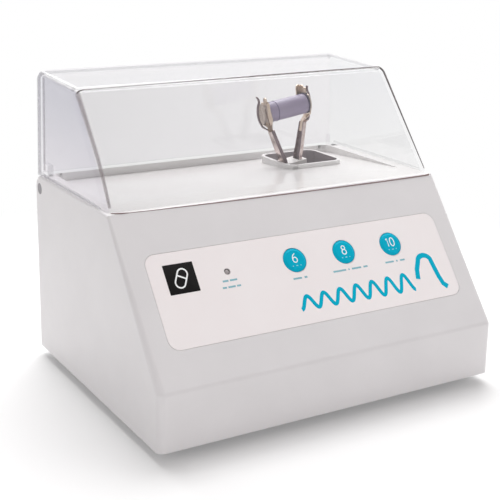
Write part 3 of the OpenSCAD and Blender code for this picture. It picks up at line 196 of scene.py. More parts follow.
# Nickel-plated brass of the inner clips: grey plates, and wings, tongue and ledge in a warmer, lighter
# tone
clip_grey = surface(
    "nickel_plated_brass_plate", "a5988f", "bcaea4", 0.3, rough_span=0.08, grain_mm=0.3,
    bump_mm=0.006, metallic=0.85, tone_mm=3,
)
clip_brass = surface(
    "nickel_plated_brass", "c9b5a5", "dccab9", 0.34, rough_span=0.08, grain_mm=0.3,
    bump_mm=0.006, metallic=0.85, tone_mm=3,
)
# Moulded polypropylene of the capsule: purple grey, waxy, its cap a shade darker
capsule_grey = surface("moulded_capsule", "958aa4", "a096ae", 0.42, grain_mm=0.4, bump_mm=0.01)
capsule_dark = surface("moulded_capsule_cap", "8c809c", "978ca7", 0.42, grain_mm=0.4, bump_mm=0.01)
# The capsule's seam, a dark joint, and the rim of its end, painted shade where it meets the plate
capsule_seam_and_shade = surface("capsule_seam_and_shade", "463a58", "53466a", 0.5, grain_mm=0.4, bump_mm=0.01)
# Enamelled steel of the motor can: dark grey
motor_enamel = surface("enamelled_steel", "4a4d50", "54575a", 0.4, grain_mm=0.6, bump_mm=0.008)
# Sintered ferrite magnet: near black, matte
ferrite = surface("sintered_ferrite", "2b2b2d", "343436", 0.75, grain_mm=0.3, bump_mm=0.01)
# Drawn brass of standoffs and brush holders
brass = surface(
    "drawn_brass", "b99555", "c7a365", 0.3, grain_mm=0.3, bump_mm=0.004, metallic=1.0, tone_mm=5
)
# Pressed carbon of the brushes
carbon = surface("pressed_carbon", "1c1c1d", "272728", 0.7, grain_mm=0.3, bump_mm=0.01)
# Sintered bronze of the bushes: brown and porous
bronze = surface("sintered_bronze", "8f6a42", "9d774d", 0.5, grain_mm=0.25, bump_mm=0.01, metallic=0.9)
# Solder mask over glass fibre: deep green, glossy, a weave of about 0.5 mm
solder_mask = surface("solder_mask_green", "0e4a26", "14552d", 0.3, grain_mm=0.5, bump_mm=0.006)
# Laminated electrical steel: dark, layered across the stack
lamination = surface(
    "laminated_steel", "55565a", "6a6b6f", 0.5, grain_mm=0.7, bump_mm=0.03, stretch=(0.1, 1, 0.1),
    metallic=0.8, tone_mm=5,
)
# Enamelled copper winding: orange brown, fine turns across the coil
copper = surface(
    "enamelled_copper", "a4592c", "b86a39", 0.3, grain_mm=0.8, bump_mm=0.06, stretch=(0.15, 0.15, 1),
    metallic=0.7, tone_mm=5,
)
# Shrunk sleeve of the capacitors: dark blue, glossy
sleeve = surface("shrunk_sleeve", "101b3c", "152247", 0.25, grain_mm=0.5, bump_mm=0.004)
# Extruded aluminium of the heatsink
aluminium = surface(
    "extruded_aluminium", "b9bbbd", "c6c8ca", 0.35, grain_mm=0.3, bump_mm=0.006,
    stretch=(1, 0.08, 1), metallic=1.0, tone_mm=6,
)
# Diffuse lens of the lamp: grey while it is off
led_lens = surface("led_lens", "a39c9c", "aea8a8", 0.3, grain_mm=0.3, bump_mm=0.003)
# Extruded PVC of the leads
pvc = surface("extruded_pvc", "4c3f3c", "584a46", 0.45, grain_mm=0.5, bump_mm=0.006)
# Ribbon cable: grey PVC, one ridge for each core of 1.27 mm
ribbon = surface("ribbon_cable_pvc", "a3a3a6", "aeaeb1", 0.45, grain_mm=0.5, bump_mm=0.006)


def clear_acrylic(name, tint, far_tint=None, *, axis="X", span_mm=(0, 1), cloud=0.0, glance=0.75):
    """Clear moulded plastic: passes light straight through, faintly tinted, and mirrors more at a glance.

    The tint may change to a far one along an axis, between two places in millimetres.
    """
    made, tree = empty_material(name)
    facing = add(tree, "ShaderNodeLayerWeight", {"Blend": 0.5}).outputs["Facing"]
    steep = add(tree, "ShaderNodeMath", {0: facing, 1: 5.0}, operation="POWER").outputs[0]
    share = add(
        tree, "ShaderNodeMath", {0: steep, 1: glance, 2: 0.04}, operation="MULTIPLY_ADD"
    ).outputs[0]
    place = add(tree, "ShaderNodeTexCoord").outputs["Object"]
    along = add(tree, "ShaderNodeSeparateXYZ", {"Vector": place}).outputs[axis]
    # A slow unevenness of a few hundredths, as poured and formed sheet has
    uneven = add(tree, "ShaderNodeTexNoise", {"Vector": place, "Scale": 12.0, "Detail": 1.0})
    drift = add(
        tree, "ShaderNodeMath", {0: uneven.outputs["Fac"], 1: cloud, 2: -cloud / 2},
        operation="MULTIPLY_ADD",
    )
    way = add(
        tree, "ShaderNodeMapRange",
        {"Value": along, "From Min": span_mm[0] * MM, "From Max": span_mm[1] * MM},
    )
    step = add(
        tree, "ShaderNodeMath", {0: way.outputs["Result"], 1: drift.outputs[0]}, operation="ADD"
    )
    ramp = add(tree, "ShaderNodeValToRGB", {"Fac": step.outputs[0]})
    ramp.color_ramp.elements[0].color = colour(tint)
    ramp.color_ramp.elements[1].color = colour(far_tint or tint)
    clear = add(tree, "ShaderNodeBsdfTransparent", {"Color": ramp.outputs["Color"]})
    gloss = add(tree, "ShaderNodeBsdfGlossy", {"Color": (1, 1, 1, 1), "Roughness": 0.03})
    mix = add(tree, "ShaderNodeMixShader", {0: share, 1: clear.outputs[0], 2: gloss.outputs[0]})
    add(tree, "ShaderNodeOutputMaterial", {"Surface": mix.outputs[0]})
    return made


def sheer(name, code, cover):
    """Light bent inside the edge of clear plastic: a soft band that covers part of what is behind."""
    made, tree = empty_material(name)
    facing = add(tree, "ShaderNodeLayerWeight", {"Blend": 0.5}).outputs["Facing"]
    # A round band is faintest along its two sides
    share = add(
        tree, "ShaderNodeMapRange",
        {"Value": facing, "From Min": 0.25, "From Max": 0.95, "To Min": cover, "To Max": 0.0},
    )
    clear = add(tree, "ShaderNodeBsdfTransparent", {"Color": (1, 1, 1, 1)})
    tone = add(tree, "ShaderNodeBsdfPrincipled", {"Base Color": colour(code), "Roughness": 0.3})
    mix = add(
        tree, "ShaderNodeMixShader",
        {0: share.outputs["Result"], 1: clear.outputs[0], 2: tone.outputs[0]},
    )
    add(tree, "ShaderNodeOutputMaterial", {"Surface": mix.outputs[0]})
    return made


# Clear acrylic of the lid, 2.5 mm thick: each wall is seen through two faces. Its own faint grey is
# deepened per wall as painted shade: the front pane darker to its left, the left wall greyer upwards, the
# other walls nearly clear
lid_front = clear_acrylic(
    "clear_acrylic_front", "f1f1f1", "fbfbfb", span_mm=(-100, 100), cloud=0.1, glance=0.3
)
UPWARDS = {"axis": "Z", "span_mm": (112, 158)}
lid_left = clear_acrylic("clear_acrylic_left", "f0eff1", "e4e4e8", cloud=0.1, **UPWARDS)
lid_right = clear_acrylic("clear_acrylic_right", "fcfcfc", "f9f9fa", **UPWARDS)
lid_back = clear_acrylic("clear_acrylic_back", "fbfafb")
lid_top = clear_acrylic("clear_acrylic_top", "fbfbfc")
# Drawn glass of the reed switch
reed_glass = clear_acrylic("drawn_glass", "dceee6")
# Polished edges of the lid, where light is bent away: dark brown grey about the front pane
pane_edge = surface("acrylic_edge_dark", "45373a", "594a4b", 0.25, grain_mm=0.5, bump_mm=0.003)
# The shade under the pane's foot, along the housing's upper edge
foot_edge = surface("acrylic_foot_edge", "6e5655", "7d6664", 0.3, grain_mm=0.5, bump_mm=0.003)
# Bent light along the lid's other edges, seen as soft grey bands
edge_band = sheer("acrylic_edge_band", "ada3a6", 0.3)
edge_haze = sheer("acrylic_edge_haze", "b6b4bc", 0.33)
edge_trace = sheer("acrylic_edge_trace", "bdbbc0", 0.12)


# Meshes


def finished(name, bm, material, place=None, smooth=35.0):
    """Turns a bmesh in millimetres into a placed object in metres, with its normals outwards."""
    if place is not None:
        bmesh.ops.transform(bm, matrix=place, verts=bm.verts)
    bmesh.ops.scale(bm, vec=(MM, MM, MM), verts=bm.verts)
    bmesh.ops.recalc_face_normals(bm, faces=bm.faces)
    mesh = bpy.data.meshes.new(name)
    bm.to_mesh(mesh)
    bm.free()
    return shown(name, mesh, material, smooth)


def shown(name, mesh, material, smooth=35.0):
    """Puts a mesh in the scene in one material, smooth but for edges over an angle in degrees."""
    made = bpy.data.objects.new(name, mesh)
    scene.collection.objects.link(made)
    made.data.materials.clear()
    made.data.materials.append(material)
    if smooth:
        for face in mesh.polygons:
            face.use_smooth = True
        mesh.set_sharp_from_angle(angle=math.radians(smooth))
    return made


def bevelled(piece, width_mm, segments=2, angle=30.0):
    """Rounds a piece's sharp edges a little, as moulding and tumbling do."""
    soft = piece.modifiers.new("edges", "BEVEL")
    soft.width = width_mm * MM
    soft.segments = segments
    soft.limit_method = "ANGLE"
    soft.angle_limit = math.radians(angle)
    soft.harden_normals = False
    return piece


def merged_copy(node, material, smooth=25.0, dissolve=0.2):
    """A copy of a CAD node with its loose triangles joined and flat areas made whole."""
    bm = bmesh.new()
    bm.from_mesh(nodes[node].data)
    bmesh.ops.remove_doubles(bm, verts=bm.verts, dist=1e-6)
    bmesh.ops.dissolve_limit(
        bm, angle_limit=math.radians(dissolve), verts=bm.verts, edges=bm.edges, delimit=set()
    )
    mesh = bpy.data.meshes.new(node + "_dressed")
    bm.to_mesh(mesh)
    bm.free()
    return shown(node + "_dressed", mesh, material, smooth)


def flat_faces_flat(piece, least_mm2=40.0):
    """Keeps the normals of large flat faces true, with a crisp line where two of them meet."""
    bm = bmesh.new()
    bm.from_mesh(piece.data)
    least = least_mm2 * MM * MM
    for edge in bm.edges:
        if len(edge.link_faces) == 2 and min(face.calc_area() for face in edge.link_faces) > least:
            if edge.calc_face_angle() > math.radians(1.5):
                edge.smooth = False
    bm.to_mesh(piece.data)
    bm.free()
    weighted = piece.modifiers.new("normals", "WEIGHTED_NORMAL")
    weighted.weight = 100
    weighted.keep_sharp = True
    return piece


def dress(node, body, material, **kind):
    """Replaces a CAD node with its merged copy in a real material."""
    made = merged_copy(node, material, **kind)
    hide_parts(node)
    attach(made, body)
    return made


def arc(centre, radii, start, end, steps=16):
    """Points along part of an ellipse in a plane, angles in degrees from x towards y."""
    turns = [math.radians(start + (end - start) * i / steps) for i in range(steps + 1)]
    return [(centre[0] + radii[0] * math.cos(t), centre[1] + radii[1] * math.sin(t), 0.0) for t in turns]


def wire(name, runs, radius, material, body, place=None, *, thick=None, closed=False, sides=3):
    """Round bars swept along runs of points in millimetres, as one piece.

    A point may carry a fourth number, its share of the radius. A thickness flattens the bars to a film.
    """
    path = bpy.data.curves.new(name, "CURVE")
    path.dimensions = "3D"
    path.bevel_depth = radius
    path.bevel_resolution = sides
    path.use_fill_caps = True
    for run in runs:
        spline = path.splines.new("POLY")
        spline.points.add(len(run) - 1)
        spline.use_cyclic_u = closed
        for knot, spot in zip(spline.points, run):
            knot.co = (*spot[:3], 1.0)
            knot.radius = spot[3] if len(spot) > 3 else 1.0
    swept = bpy.data.objects.new(name, path)
    mesh = bpy.data.meshes.new_from_object(swept)
    bpy.data.objects.remove(swept)
    bm = bmesh.new()
    bm.from_mesh(mesh)
    bpy.data.meshes.remove(mesh)
    bmesh.ops.remove_doubles(bm, verts=bm.verts, dist=1e-4)
    if thick is not None:
        bmesh.ops.scale(bm, vec=(1, 1, thick / radius), verts=bm.verts)
    made = finished(name, bm, material, place)
    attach(made, body)
    return made


def plate(size, thick, radius, centre=(0, 0, 0)):
    """A flat plate in millimetres, its corners rounded and its upper rim eased."""
    bm = bmesh.new()
    bmesh.ops.create_cube(bm, size=1)
    bmesh.ops.scale(bm, vec=(size[0], size[1], thick), verts=bm.verts)
    upright = [e for e in bm.edges if abs(e.verts[0].co.z - e.verts[1].co.z) > thick / 2]
    bmesh.ops.bevel(
        bm, geom=upright, offset=radius, segments=6, profile=0.5, affect="EDGES", material=-1
    )
    rim = [e for e in bm.edges if all(v.co.z > thick * 0.4 for v in e.verts)]
    bmesh.ops.bevel(
        bm, geom=rim, offset=min(thick * 0.35, 0.3), segments=2, profile=0.5, affect="EDGES", material=-1
    )
    bmesh.ops.translate(bm, vec=centre, verts=bm.verts)
    return bm


# Camera and stage

view = bpy.data.cameras.new("camera")
view.lens = 78.155
view.sensor_width = 36.0
camera = bpy.data.objects.new("camera", view)
camera.location = (-0.3091, -0.5063, 0.2548)
camera.rotation_euler = [math.radians(a) for a in (72.8621, -0.8882, -30.5544)]
scene.collection.objects.link(camera)
scene.camera = camera

scene.view_settings.view_transform = "Standard"


def direct_ray(tree):
    """1 for what the camera sees straight, in a mirror or through clear plastic."""
    path = add(tree, "ShaderNodeLightPath").outputs
    plain = add(
        tree, "ShaderNodeMath", {0: path["Is Camera Ray"], 1: path["Is Glossy Ray"]},
        operation="MAXIMUM",
    ).outputs[0]
    return add(
        tree, "ShaderNodeMath", {0: plain, 1: path["Is Transmission Ray"]}, operation="MAXIMUM"
    ).outputs[0]


world = bpy.data.worlds.new("studio")
scene.world = world
world.use_nodes = True
sky = world.node_tree
sky.nodes.clear()
seen = direct_ray(sky)
# The room is brightest at the level of the table
where = add(sky, "ShaderNodeTexCoord").outputs["Generated"]
spread = add(sky, "ShaderNodeSeparateXYZ", {"Vector": where})
height = add(
    sky, "ShaderNodeMapRange",
    {"Value": spread.outputs["Z"], "From Min": 0.1, "From Max": 0.8, "To Min": 0.96, "To Max": 0.45},
)
# and a little dimmer on its left
across = add(
    sky, "ShaderNodeMapRange",
    {"Value": spread.outputs["X"], "From Min": -0.8, "From Max": 0.8, "To Min": 0.90, "To Max": 1.12},
)
dim = add(
    sky, "ShaderNodeMath", {0: height.outputs["Result"], 1: across.outputs["Result"]},
    operation="MULTIPLY",
)
# and dimmer still behind the machine, where the softbox stands
behind = add(
    sky, "ShaderNodeMapRange",
    {"Value": spread.outputs["Y"], "From Min": -0.1, "From Max": 0.8, "To Min": 1.0, "To Max": 0.55},
)
dimmer = add(
    sky, "ShaderNodeMath", {0: dim.outputs[0], 1: behind.outputs["Result"]}, operation="MULTIPLY"
)
room = add(sky, "ShaderNodeBackground", {"Color": colour("f9f5f5"), "Strength": dimmer.outputs[0]})
white = add(sky, "ShaderNodeBackground", {"Color": (1, 1, 1, 1), "Strength": 1.0})
sky_mix = add(
    sky, "ShaderNodeMixShader", {0: seen, 1: room.outputs[0], 2: white.outputs[0]}
)
add(sky, "ShaderNodeOutputWorld", {"Surface": sky_mix.outputs[0]})


def soft_light(name, place, aim, size, watts, tint="ffffff"):
    """A square softbox that looks at a point."""
    lamp = bpy.data.lights.new(name, "AREA")
    lamp.shape = "SQUARE"
    lamp.size = size
    lamp.energy = watts
    lamp.color = colour(tint)[:3]
    made = bpy.data.objects.new(name, lamp)
    made.location = place
    made.rotation_euler = (Vector(aim) - Vector(place)).to_track_quat("-Z", "Y").to_euler()
    scene.collection.objects.link(made)


soft_light("back_softbox", (0.3, 0.75, 1.25), (0, 0, 0.1), 1.5, 34.0)

FLOOR_HALF = 6000
floor_bm = bmesh.new()
bmesh.ops.create_grid(floor_bm, x_segments=1, y_segments=1, size=FLOOR_HALF)
floor_white, floor_tree = empty_material("studio_paper")
# Paper that the eye meets is a shade darker than the paper that lights the machine, and a little of its
# own light keeps the shadow soft
paper_eye = direct_ray(floor_tree)
paper_tone = add(floor_tree, "ShaderNodeMapRange", {"Value": paper_eye, "To Min": 0.9, "To Max": 0.74})
paper_diffuse = add(floor_tree, "ShaderNodeBsdfDiffuse", {"Color": paper_tone.outputs["Result"]})
paper_lift = add(floor_tree, "ShaderNodeMath", {0: paper_eye, 1: 0.19}, operation="MULTIPLY")
paper_veil = add(
    floor_tree, "ShaderNodeEmission", {"Color": (1, 1, 1, 1), "Strength": paper_lift.outputs[0]}
)
paper = add(
    floor_tree, "ShaderNodeAddShader", {0: paper_diffuse.outputs[0], 1: paper_veil.outputs[0]}
)
# Away from the machine and its shadow the eye meets plain white paper
paper_place = add(floor_tree, "ShaderNodeTexCoord").outputs["Object"]
paper_reach = add(floor_tree, "ShaderNodeVectorMath", {0: paper_place}, operation="LENGTH")
paper_far = add(
    floor_tree, "ShaderNodeMapRange",
    {"Value": paper_reach.outputs["Value"], "From Min": 0.24, "From Max": 0.40},
    interpolation_type="SMOOTHSTEP",
)
paper_share = add(
    floor_tree, "ShaderNodeMath", {0: paper_far.outputs["Result"], 1: paper_eye},
    operation="MULTIPLY",
)
paper_glow = add(floor_tree, "ShaderNodeEmission", {"Color": (1, 1, 1, 1), "Strength": 1.0})
paper_mix = add(
    floor_tree, "ShaderNodeMixShader",
    {0: paper_share.outputs[0], 1: paper.outputs[0], 2: paper_glow.outputs[0]},
)
add(floor_tree, "ShaderNodeOutputMaterial", {"Surface": paper_mix.outputs[0]})
floor = finished("studio_floor", floor_bm, floor_white, smooth=0)


# CAD nodes that keep their own solid, by finish

finishes = {
    polypropylene: ["base_plate"],
    rubber: ["rubber_feet", "isolators"],
    zinc_steel: [
        "base_screws", "panel_screws", "motor_frame", "isolator_screws", "motor_screws",
        "board_screws", "counterweights", "arm_screws", "fork_springs", "inlet_pins", "lid_magnet",
    ],
    turned_steel: ["hinge_pins", "skew_bush"],
    powder_coat: ["rear_panel"],
    black_nylon: ["mains_inlet", "switch_frame", "power_rocker", "tact_switches"],
    motor_enamel: ["motor_can", "motor_end_cap"],
    ferrite: ["field_magnets"],
    brass: ["brush_holders", "board_standoffs"],
    carbon: ["carbon_brushes"],
    bronze: ["shaft_bushes"],
    solder_mask: ["control_board", "keypad_board"],
    lamination: ["transformer_core", "rotor_core"],
    copper: ["transformer_coil", "commutator"],
    sleeve: ["capacitors"],
    aluminium: ["heatsink"],
    led_lens: ["indicator_led"],
    reed_glass: ["reed_switch"],
    pvc: ["power_leads"],
    ribbon: ["ribbon_cable"],
    ground_steel: ["drive_shaft", "bearing_inner_rings", "bearing_outer_rings", "bearing_balls"],
    nylon: ["cooling_fan", "fork_hub", "arm_clamp"],
    label_film: ["front_label"],
    ink_cyan: ["key_short", "key_medium", "key_long"],
    capsule_grey: ["capsule_body"],
    capsule_dark: ["capsule_cap"],
}
for finish, names in finishes.items():
    for name in names:
        nodes[name].data.materials.clear()
        nodes[name].data.materials.append(finish)

housing = flat_faces_flat(dress("housing_shell", "chassis", abs_white))
lid = flat_faces_flat(dress("lid_shell", "lid", lid_front))

# Each wall of the lid has its own tint of painted shade
FRONT_WALL, LEFT_WALL, RIGHT_WALL, BACK_WALL, TOP_WALL = range(5)
for tint in (lid_left, lid_right, lid_back, lid_top):
    lid.data.materials.append(tint)
slope_out = slope_frame.to_3x3() @ Vector((0, 0, 1))
for face in lid.data.polygons:
    out, where_mm = face.normal, face.center / MM
    if abs(out.x) > 0.75:
        wall = LEFT_WALL if where_mm.x < 0 else RIGHT_WALL
    elif abs(out.dot(slope_out)) > 0.92 and where_mm.y < 60:
        wall = FRONT_WALL
    elif where_mm.y > 70:
        wall = BACK_WALL
    elif out.z > 0.95 and where_mm.z > 160:
        wall = TOP_WALL
    else:
        wall = FRONT_WALL
    # The blocks above the hinge ears, whose many faces would add up to grey
    if abs(where_mm.z - 115) < 3.2 and 95 < abs(where_mm.x) < 101 and 68 < where_mm.y < 78.5:
        wall = TOP_WALL
    face.material_index = wall

# The tray is polished where the rest of the housing is grained, and its lighter colour is painted light;
# the opening's inside walls get painted shade
TRAY, SHADE = 1, 2
housing.data.materials.append(abs_tray_painted_light)
housing.data.materials.append(abs_painted_shade)
for face in housing.data.polygons:
    where_mm = face.center / MM
    if where_mm.z > 100 and abs(where_mm.x) < 97.5 and -14 < where_mm.y < 78:
        face.material_index = TRAY
    # Walls facing into the opening take the painted shade
    inward = OPENING - where_mm.xy
    beside = abs(inward.x) < OPENING_HALF_W and abs(inward.y) < OPENING_HALF_D
    faces_in = face.normal.xy.dot(inward) > 0 and abs(face.normal.z) < 0.5
    if beside and faces_in and where_mm.z > 60:
        face.material_index = SHADE


# Edges of the lid, drawn where its fillets bend the light

FILLET = 5.0
# The fillets' axes: half-widths and places up the slope at the pane's foot and top,
# heights of the top at its front and back, the lid's foot, and the rear wall
FOOT_HALF_W, TOP_HALF_W = 97.7, 95.97
FOOT_S, TOP_S = 99.7, 165.7
FRONT_TOP, BACK_TOP = 163.0, 165.3
LID_FOOT = 112.0
BACK_Y = 76.6


def on_fillet(x, s, side_deg, up_deg, share=1.0, depth=0.25):
    """A point on the fillet about the front pane, at an angle to its side and another to its top."""
    turn_x = math.sin(math.radians(side_deg))
    turn_s = math.sin(math.radians(up_deg))
    turn_z = math.sqrt(max(1 - turn_x**2 - turn_s**2, 0))
    reach = FILLET - depth
    return (x + reach * turn_x, s + reach * turn_s, -FILLET + reach * turn_z, share)


def mixed(a, b, t):
    """The number a share of the way from one to another."""
    return a + (b - a) * t


def shares(steps):
    """Even steps from 0 to 1."""
    return [i / steps for i in range(steps + 1)]


def stepped(t, *knots):
    """A value read off straight lines between (place, value) knots."""
    for (t0, a), (t1, b) in zip(knots, knots[1:]):
        if t <= t1:
            return mixed(a, b, (t - t0) / (t1 - t0))
    return knots[-1][1]


top_edge = [
    on_fillet(
        mixed(-TOP_HALF_W, TOP_HALF_W, t), TOP_S, 0, mixed(15, 50, t),
        stepped(t, (0, 0.5), (0.25, 0.65), (0.5, 1.0), (0.8, 1.25), (1, 1.35)),
    )
    for t in shares(24)
]
left_corner = [
    on_fillet(-TOP_HALF_W, TOP_S, -48 * (1 - t), 15 * math.sqrt(t), mixed(0.9, 0.6, t))
    for t in (0, 0.15, 0.3, 0.5, 0.7, 0.85)
]
right_corner = [
    on_fillet(TOP_HALF_W, TOP_S, 56 * math.sin(t), 50 * math.cos(t), 1.35)
    for t in (i * math.pi / 16 for i in range(1, 8))
]
right_edge = [
    on_fillet(mixed(TOP_HALF_W, FOOT_HALF_W, t), mixed(TOP_S, FOOT_S, t), 54, 0, mixed(1.35, 0.6, t))
    for t in shares(12)
]
pane_line = left_corner + top_edge + right_corner + right_edge
wire("lid_pane_edge", [pane_line], 0.42, pane_edge, "lid", slope_frame)

left_edge = [
    on_fillet(
        mixed(-TOP_HALF_W, -FOOT_HALF_W, t), mixed(TOP_S, FOOT_S, t),
        -stepped(t, (0, 46), (0.3, 35), (0.55, 27), (0.75, 28), (1, 38)), 0,
        mixed(1.0, 0.6, t), depth=0.8,
    )
    for t in shares(12)
]
wire("lid_left_band", [left_edge], 1.6, edge_band, "lid", slope_frame, sides=5)
wire("lid_left_core", [left_edge], 0.8, edge_band, "lid", slope_frame, sides=4)

# The housing's upper front edge, a dark line under the lid's foot that swells to the right
foot = [
    (x, s, -0.1, share) for x, s, share in (
        (-101.2, 96.0, 0.5), (-95.4, 95.3, 0.9), (-91, 95.1, 0.5), (-80, 94.8, 0.6), (-40, 94.3, 0.9),
        (10, 94.0, 1.0), (65, 93.9, 1.1), (98, 94.2, 1.2), (101, 94.6, 1.6),
    )
]
wire("lid_foot_line", [foot], 0.4, foot_edge, "chassis", slope_frame)

# How far the rear edges' bands lie from the axes of their fillets, and their headings from them
EDGE_REACH = FILLET - 0.6
OUT_X, OUT_Y, HALF_TURN = 0.86, 0.51, 0.7


def rounded(side, base, heading):
    """A point on a rear edge's fillet, in a direction from the fillet's axis."""
    out = Vector(heading).normalized() * EDGE_REACH
    return (side * (base[0] + out.x), base[1] + out.y, base[2] + out.z, 1.0)


def rear_edges(side):
    """The lid's rear corner on one side: its upright edge, over the corner, and along the side's top."""
    top = (TOP_HALF_W - 0.07, BACK_Y, BACK_TOP)
    foot = (FOOT_HALF_W, BACK_Y, LID_FOOT)
    front = (TOP_HALF_W, 29.0, FRONT_TOP)

    def between(start, heading):
        return [rounded(side, [mixed(a, b, t) for a, b in zip(start, top)], heading) for t in shares(8)]

    over = [
        rounded(
            side, top,
            (mixed(OUT_X, 0, t), mixed(OUT_Y, HALF_TURN, t), HALF_TURN * math.sin(t * math.pi / 2)),
        )
        for t in shares(8)[1:]
    ]
    middle = [(0.0, BACK_Y + EDGE_REACH * HALF_TURN, BACK_TOP + EDGE_REACH * HALF_TURN, 1.0)]
    turn = [
        rounded(side, top, (HALF_TURN * math.cos(t), HALF_TURN * math.sin(t), HALF_TURN))
        for t in (math.pi / 12 * i for i in range(1, 6))
    ]
    upright = between(foot, (OUT_X, OUT_Y, 0))
    side_top = between(front, (HALF_TURN, 0, HALF_TURN))
    return upright, over + middle, side_top + turn


left_upright, left_over, left_top = rear_edges(-1)
_, right_over, right_top = rear_edges(1)
far_edges = [left_upright + left_over, left_top, right_over[2:], right_top]
wire("lid_far_edges", far_edges, 1.1, edge_haze, "lid", sides=4)
# A finer line inside the left rear edge, where its fillet begins
rear_core = [
    (-mixed(FOOT_HALF_W, TOP_HALF_W, t), BACK_Y + EDGE_REACH, mixed(LID_FOOT, BACK_TOP, t), 1.0)
    for t in shares(2)
]
wire("lid_left_rear_core", [rear_core], 0.5, edge_band, "lid", sides=4)
# The feet of the side walls
SIDE_FOOT_X, SIDE_FOOT_FRONT, SIDE_FOOT_BACK, SIDE_FOOT_Z = 102.5, -12.0, 76.0, 111.9
for side, name, mark, radius in ((-1, "left", edge_haze, 1.3), (1, "right", edge_trace, 0.9)):
    side_foot = [
        (
            side * SIDE_FOOT_X, mixed(SIDE_FOOT_FRONT, SIDE_FOOT_BACK, t), SIDE_FOOT_Z,
            stepped(t, (0, 0.3), (0.2, 1.0), (1, 1.0)),
        )
        for t in shares(10)
    ]
    wire("lid_side_foot_" + name, [side_foot], radius, mark, "lid", sides=4)


# The folded steel of the fork


# The second material slot: painted shade on an arm, and the warmer wings, tongue and ledge on a clip
SHADE_OR_WING_SLOT = 1
to_fork = fork_frame.inverted()


def in_fork(face):
    """A face's centre and normal in the fork's frame: x across, y to the back, z up along the arms."""
    return to_fork @ (face.center / MM), to_fork.to_3x3() @ face.normal


for side, name in ((-1, "arm_left"), (1, "arm_right")):
    arm = bevelled(dress(name, "fork", spring_steel), 0.12)
    arm.data.materials.append(steel_painted_shade)
    for face in arm.data.polygons:
        at, out = in_fork(face)
        # Inner channel faces, flange faces and the part above the neck take the painted shade
        inner = out.x * side < -0.5 and 50 < at.z < NECK_V
        edge = abs(out.y) > 0.7 and (side < 0 or out.y > 0)
        if inner or edge or at.z > NECK_V + 1.5:
            face.material_index = SHADE_OR_WING_SLOT
for name in ("clip_left", "clip_right"):
    clip = bevelled(dress(name, "fork", clip_grey), 0.15)
    clip.data.materials.append(clip_brass)
    for face in clip.data.polygons:
        at, out = in_fork(face)
        # The wings, the tongue on top and the ledge below
        if abs(at.y) > 6.1 or at.z > CAPSULE_V + 6.5 or at.z < CAPSULE_V - 5.5:
            face.material_index = SHADE_OR_WING_SLOT
# The fold line on the left clip's wing, a line of painted shade; heights here are from the capsule's
# middle
CREASE_W = -7.15
crease = [
    (u, CREASE_W, CAPSULE_V + v, share) for u, v, share in (
        (-18.07, 4.52, 0.5),
        (-17.49, 1.88, 0.9),
        (-16.97, -0.69, 0.9),
        (-16.42, -3.59, 1.0),
        (-16.23, -5.49, 1.5),
    )
]
wire("clip_left_crease", [crease], 0.22, crease_painted_shade, "fork", fork_frame)
# That clip's root, which tapers from the wing down to the arm's neck: rungs from u to u, at w and height
ROOT_RUNGS = (
    (-17.5, -13.6, -6.6, -4.0),
    (-17.2, -13.3, -5.6, -6.2),
    (-16.2, -12.8, -4.4, -8.6),
    (-14.3, -12.3, -2.7, -11.4),
)
ROOT_T = 0.6
root = bmesh.new()
rows = [
    [root.verts.new((mixed(u0, u1, t), w, CAPSULE_V + v)) for t in shares(2)]
    for u0, u1, w, v in ROOT_RUNGS
]
for upper, lower in zip(rows, rows[1:]):
    for i in range(2):
        root.faces.new((upper[i], upper[i + 1], lower[i + 1], lower[i]))
bmesh.ops.solidify(root, geom=root.faces[:], thickness=ROOT_T)
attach(finished("clip_left_root", root, clip_brass, fork_frame), "fork")


def ring(name, u, bar):
    """A round band about the capsule, at a place across the fork."""
    bm = bmesh.new()
    section = Matrix.Translation((CAPSULE_R, 0, 0)) @ Matrix.Rotation(math.pi / 2, 4, "X")
    bmesh.ops.create_circle(bm, segments=8, radius=bar, matrix=section)
    bmesh.ops.spin(
        bm, geom=bm.verts[:] + bm.edges[:], cent=(0, 0, 0), axis=(0, 0, 1), angle=2 * math.pi,
        steps=64, use_merge=True, use_duplicate=False,
    )
    bmesh.ops.rotate(bm, cent=(0, 0, 0), matrix=Matrix.Rotation(math.pi / 2, 3, "Y"), verts=bm.verts)
    bmesh.ops.translate(bm, vec=(u, 0, CAPSULE_V), verts=bm.verts)
    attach(finished(name, bm, capsule_seam_and_shade, fork_frame), "capsule")


ring("capsule_seam_ring", -7.7, 0.2)
# A ring of painted shade at the capsule's end, where it meets the plate
ring("capsule_end_ring", 13.9, 0.38)


# Print on the label: a plain design of a shaken wave, a square with a capsule's outline, and short bars

INK = 0.05


def printed(name, runs, radius, material, body="chassis", place=slope_frame, thick=INK):
    """Lines of ink on the slope or on a key."""
    wire(name, runs, radius, material, body, place, thick=thick, sides=2)


# The wave starts at the left, and grows and rises a little to the right
WAVE_START, WAVE_LENGTH, WAVE_PITCH = -13.0, 75.0, 10.7
WAVE_MIDDLE, WAVE_HALF_HEIGHT = (31.8, 32.4), (3.4, 4.9)
wave_line = [
    (
        WAVE_START + WAVE_LENGTH * t,
        mixed(*WAVE_MIDDLE, t)
        - mixed(*WAVE_HALF_HEIGHT, t) * math.cos(WAVE_LENGTH * t / WAVE_PITCH * 2 * math.pi),
        0.0,
    )
    for t in shares(160)
]
printed("label_wave", [wave_line], 1.1, ink_cyan)
# Its last crest is taller and ends in a short flick
crest = [(66.0, 33.0, 0.0), (67.5, 38.5, 0.0), (70.2, 43.2, 0.0)]
crest += arc((74.6, 42.0), (4.6, 4.2), 150, 20, 12)
crest += [(79.6, 38.0, 0.0), (80.4, 32.5, 0.0), (81.6, 28.0, 0.0), (84.0, 25.6, 0.0)]
printed("label_crest", [crest], 1.5, ink_cyan)

